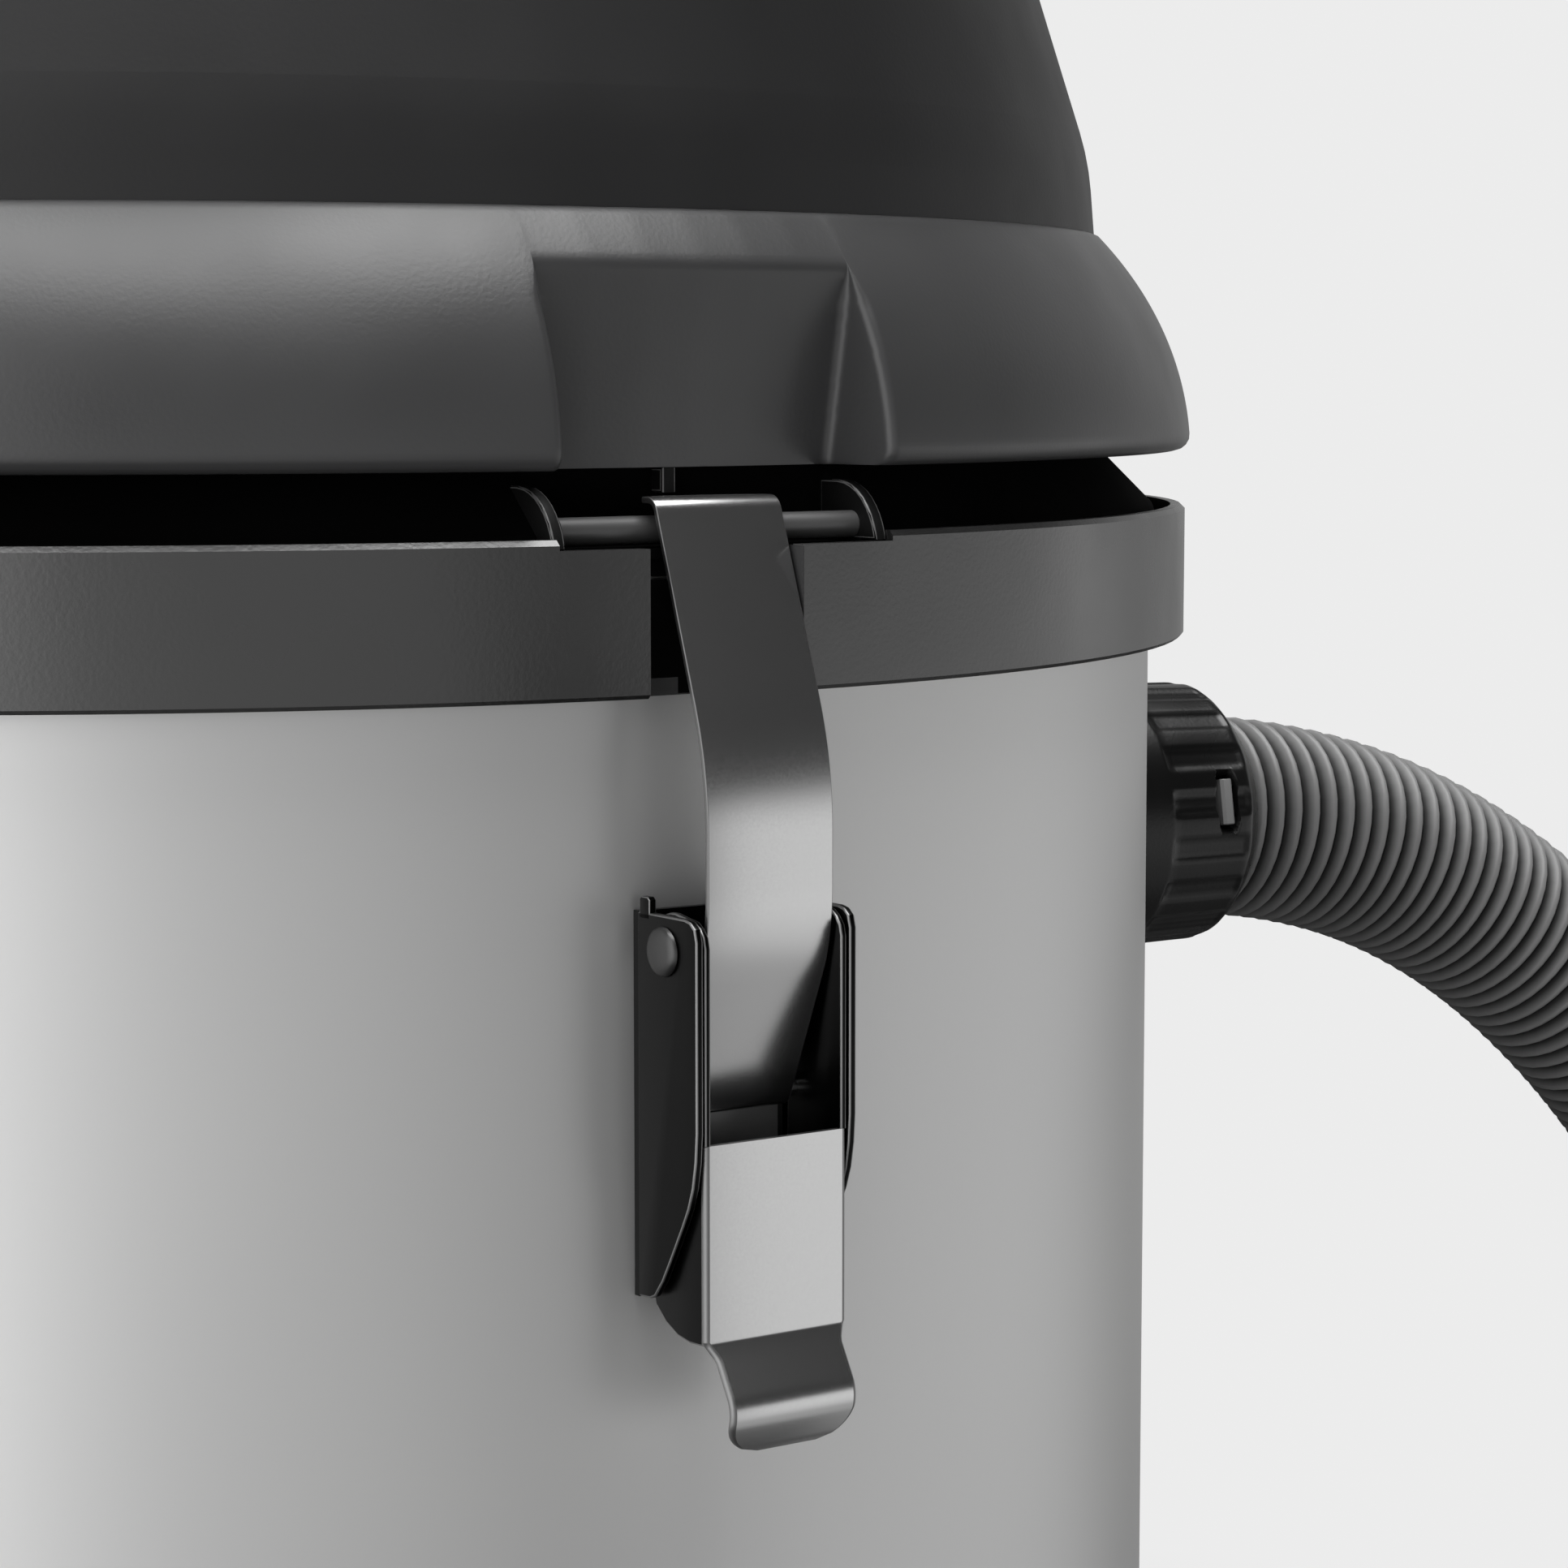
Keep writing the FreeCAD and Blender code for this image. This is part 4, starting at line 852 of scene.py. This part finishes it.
MATERIALS = {
    "stainless": satin_steel("satin_stainless", grey(0.64), (0.68, 0.68, 0.675), 0.44, 0.85),
    "steel": satin_steel("plated_steel", grey(0.72), grey(0.78), 0.24, 1.0),
    "zinc": satin_steel("zinc_plate", (0.50, 0.51, 0.52), (0.60, 0.61, 0.62), 0.35, 1.0),
    "hood_grey": moulded_plastic(
        "hood_plastic", (0.014, 0.014, 0.0145), (0.018, 0.018, 0.0185), 0.48, specular=0.33,
    ),
    "skirt_grey": moulded_plastic(
        "skirt_plastic", (0.040, 0.040, 0.041), (0.048, 0.048, 0.049), 0.36, specular=0.55,
    ),
    "black_plastic": moulded_plastic("black_plastic", grey(0.012), grey(0.016), 0.40),
    "float_white": moulded_plastic("float_plastic", (0.70, 0.70, 0.68), (0.78, 0.78, 0.76), 0.35),
    "impeller_white": moulded_plastic("impeller_plastic", (0.60, 0.60, 0.58), (0.68, 0.68, 0.66), 0.35),
    "hose_grey": moulded_plastic("hose_plastic", grey(0.20), grey(0.24), 0.36),
    # Hose plastic painted near black at the bottom of its grooves: painted shade.
    "hose_rib": ribbed_plastic("ribbed_plastic", grey(0.21), grey(0.010), 0.36),
    "rubber": moulded_plastic("rubber_black", grey(0.012), grey(0.020), 0.62),
    "tyre": moulded_plastic("tyre_rubber", grey(0.05), grey(0.07), 0.6),
    "filter_paper": moulded_plastic("pleated_paper", (0.62, 0.58, 0.48), (0.72, 0.69, 0.60), 0.85),
    "band_black": moulded_plastic("band_plastic", grey(0.007), grey(0.011), 0.27, specular=0.8, ior=1.65),
    # Near black with almost no gloss: painted shade in the gap under the head, in the rim band's slots and in
    # the connector's windows.
    "shade_black": moulded_plastic("shade_black", grey(0.0015), grey(0.003), 0.8, specular=0.02),
    # The latch steel in painted light: near black for the dark reflection and shade on the sides and backs,
    # mid grey for highlights on rounded edges.
    "steel_painted_dark": satin_steel("steel_painted_dark", grey(0.010), grey(0.014), 0.32, 1.0),
    "steel_painted_edge": satin_steel("steel_painted_edge", grey(0.22), grey(0.30), 0.42, 1.0),
    "dull_pin": satin_steel("dull_pin", grey(0.13), grey(0.17), 0.48, 0.6),
    "pin_head": satin_steel("pin_head", grey(0.08), grey(0.11), 0.38, 1.0),
    "grip_black": moulded_plastic("grip_black", grey(0.003), grey(0.005), 0.30),
    # The collar's fins painted near black as shade, with lighter edges as painted highlights.
    "ear_painted_shade": moulded_plastic("ear_painted_shade", grey(0.003), grey(0.005), 0.5, specular=0.2),
    "ear_painted_highlight": moulded_plastic("ear_painted_highlight", grey(0.09), grey(0.12), 0.35, specular=0.8),
}
# Nodes that look different from the rest of their material slot. The head's collar and seal are painted near
# black: painted shade in the gap under the head.
NODE_LOOKS = {
    "rim_band": "band_black", "head_collar": "shade_black", "hook_pins": "dull_pin", "head_seal": "shade_black",
}


def dress(piece, *looks):
    for look in looks:
        piece.data.materials.append(MATERIALS[look])


make_camera()
make_stage()
make_world()
bpy.context.scene.view_settings.view_transform = "Standard"

for part in frame["record"]["subparts"]:
    node = frame["nodes"][part["node"]]
    for place in node.material_slots:
        place.material = MATERIALS[NODE_LOOKS.get(part["node"], part["material_slot"])]


# The pieces ------------------------------------------------------------------------------------------
def install(piece, body, looks, replaced=None):
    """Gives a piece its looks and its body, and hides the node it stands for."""
    dress(piece, *looks)
    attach(piece, body)
    if replaced:
        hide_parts(replaced)


hose, hose_line, hose_length = make_hose()
install(hose, "drum_unit", ("hose_rib",), "hose_tube")
connector = connector_piece()
install(connector, "drum_unit", ("grip_black", "shade_black"), "hose_connector")
install(window_key_piece(), "drum_unit", ("hose_grey", "hose_grey"))
install(skirt_piece(), "head", ("skirt_grey",), "skirt")

latch_pins = []
for side, azimuth in LATCH_AZIMUTHS.items():
    # The latch's steel carries painted light: the lever's and bracket's sides and the bracket's back are
    # painted near black as dark reflection and shade, and the rounded edges of strap, lever and bracket are
    # painted mid grey as their highlights.
    strap = turned(strap_piece(f"strap_{side}_bent"), azimuth)
    install(strap, f"strap_{side}", ("steel", "steel_painted_edge"), f"latch_strap_{side}")
    lever = turned(lever_piece(f"lever_{side}_folded"), azimuth)
    install(lever, f"lever_{side}", ("steel_painted_dark", "steel_painted_edge", "steel"), f"latch_lever_{side}")
    bracket = turned(bracket_piece(f"bracket_{side}_channel"), azimuth)
    install(bracket, "drum_unit", ("steel_painted_dark", "steel_painted_edge"), f"latch_bracket_{side}")
    latch_pins.append(turned(pin_piece("lever_pin", LEVER_PIVOT, 15.4, LEVER_PIN_HALF), azimuth))
    # A black sheet in the rim band's slot: painted shade.
    shade_plate = turned(slot_shade_sheet(f"band_slot_shade_{side}"), azimuth)
    install(shade_plate, "drum_unit", ("shade_black", "hood_grey"))
    ears = turned(collar_ears(f"collar_ears_{side}"), azimuth)
    install(ears, "head", ("ear_painted_shade", "ear_painted_highlight"))
install(joined("lever_pins_domed", latch_pins), "drum_unit", ("pin_head",), "lever_pins")
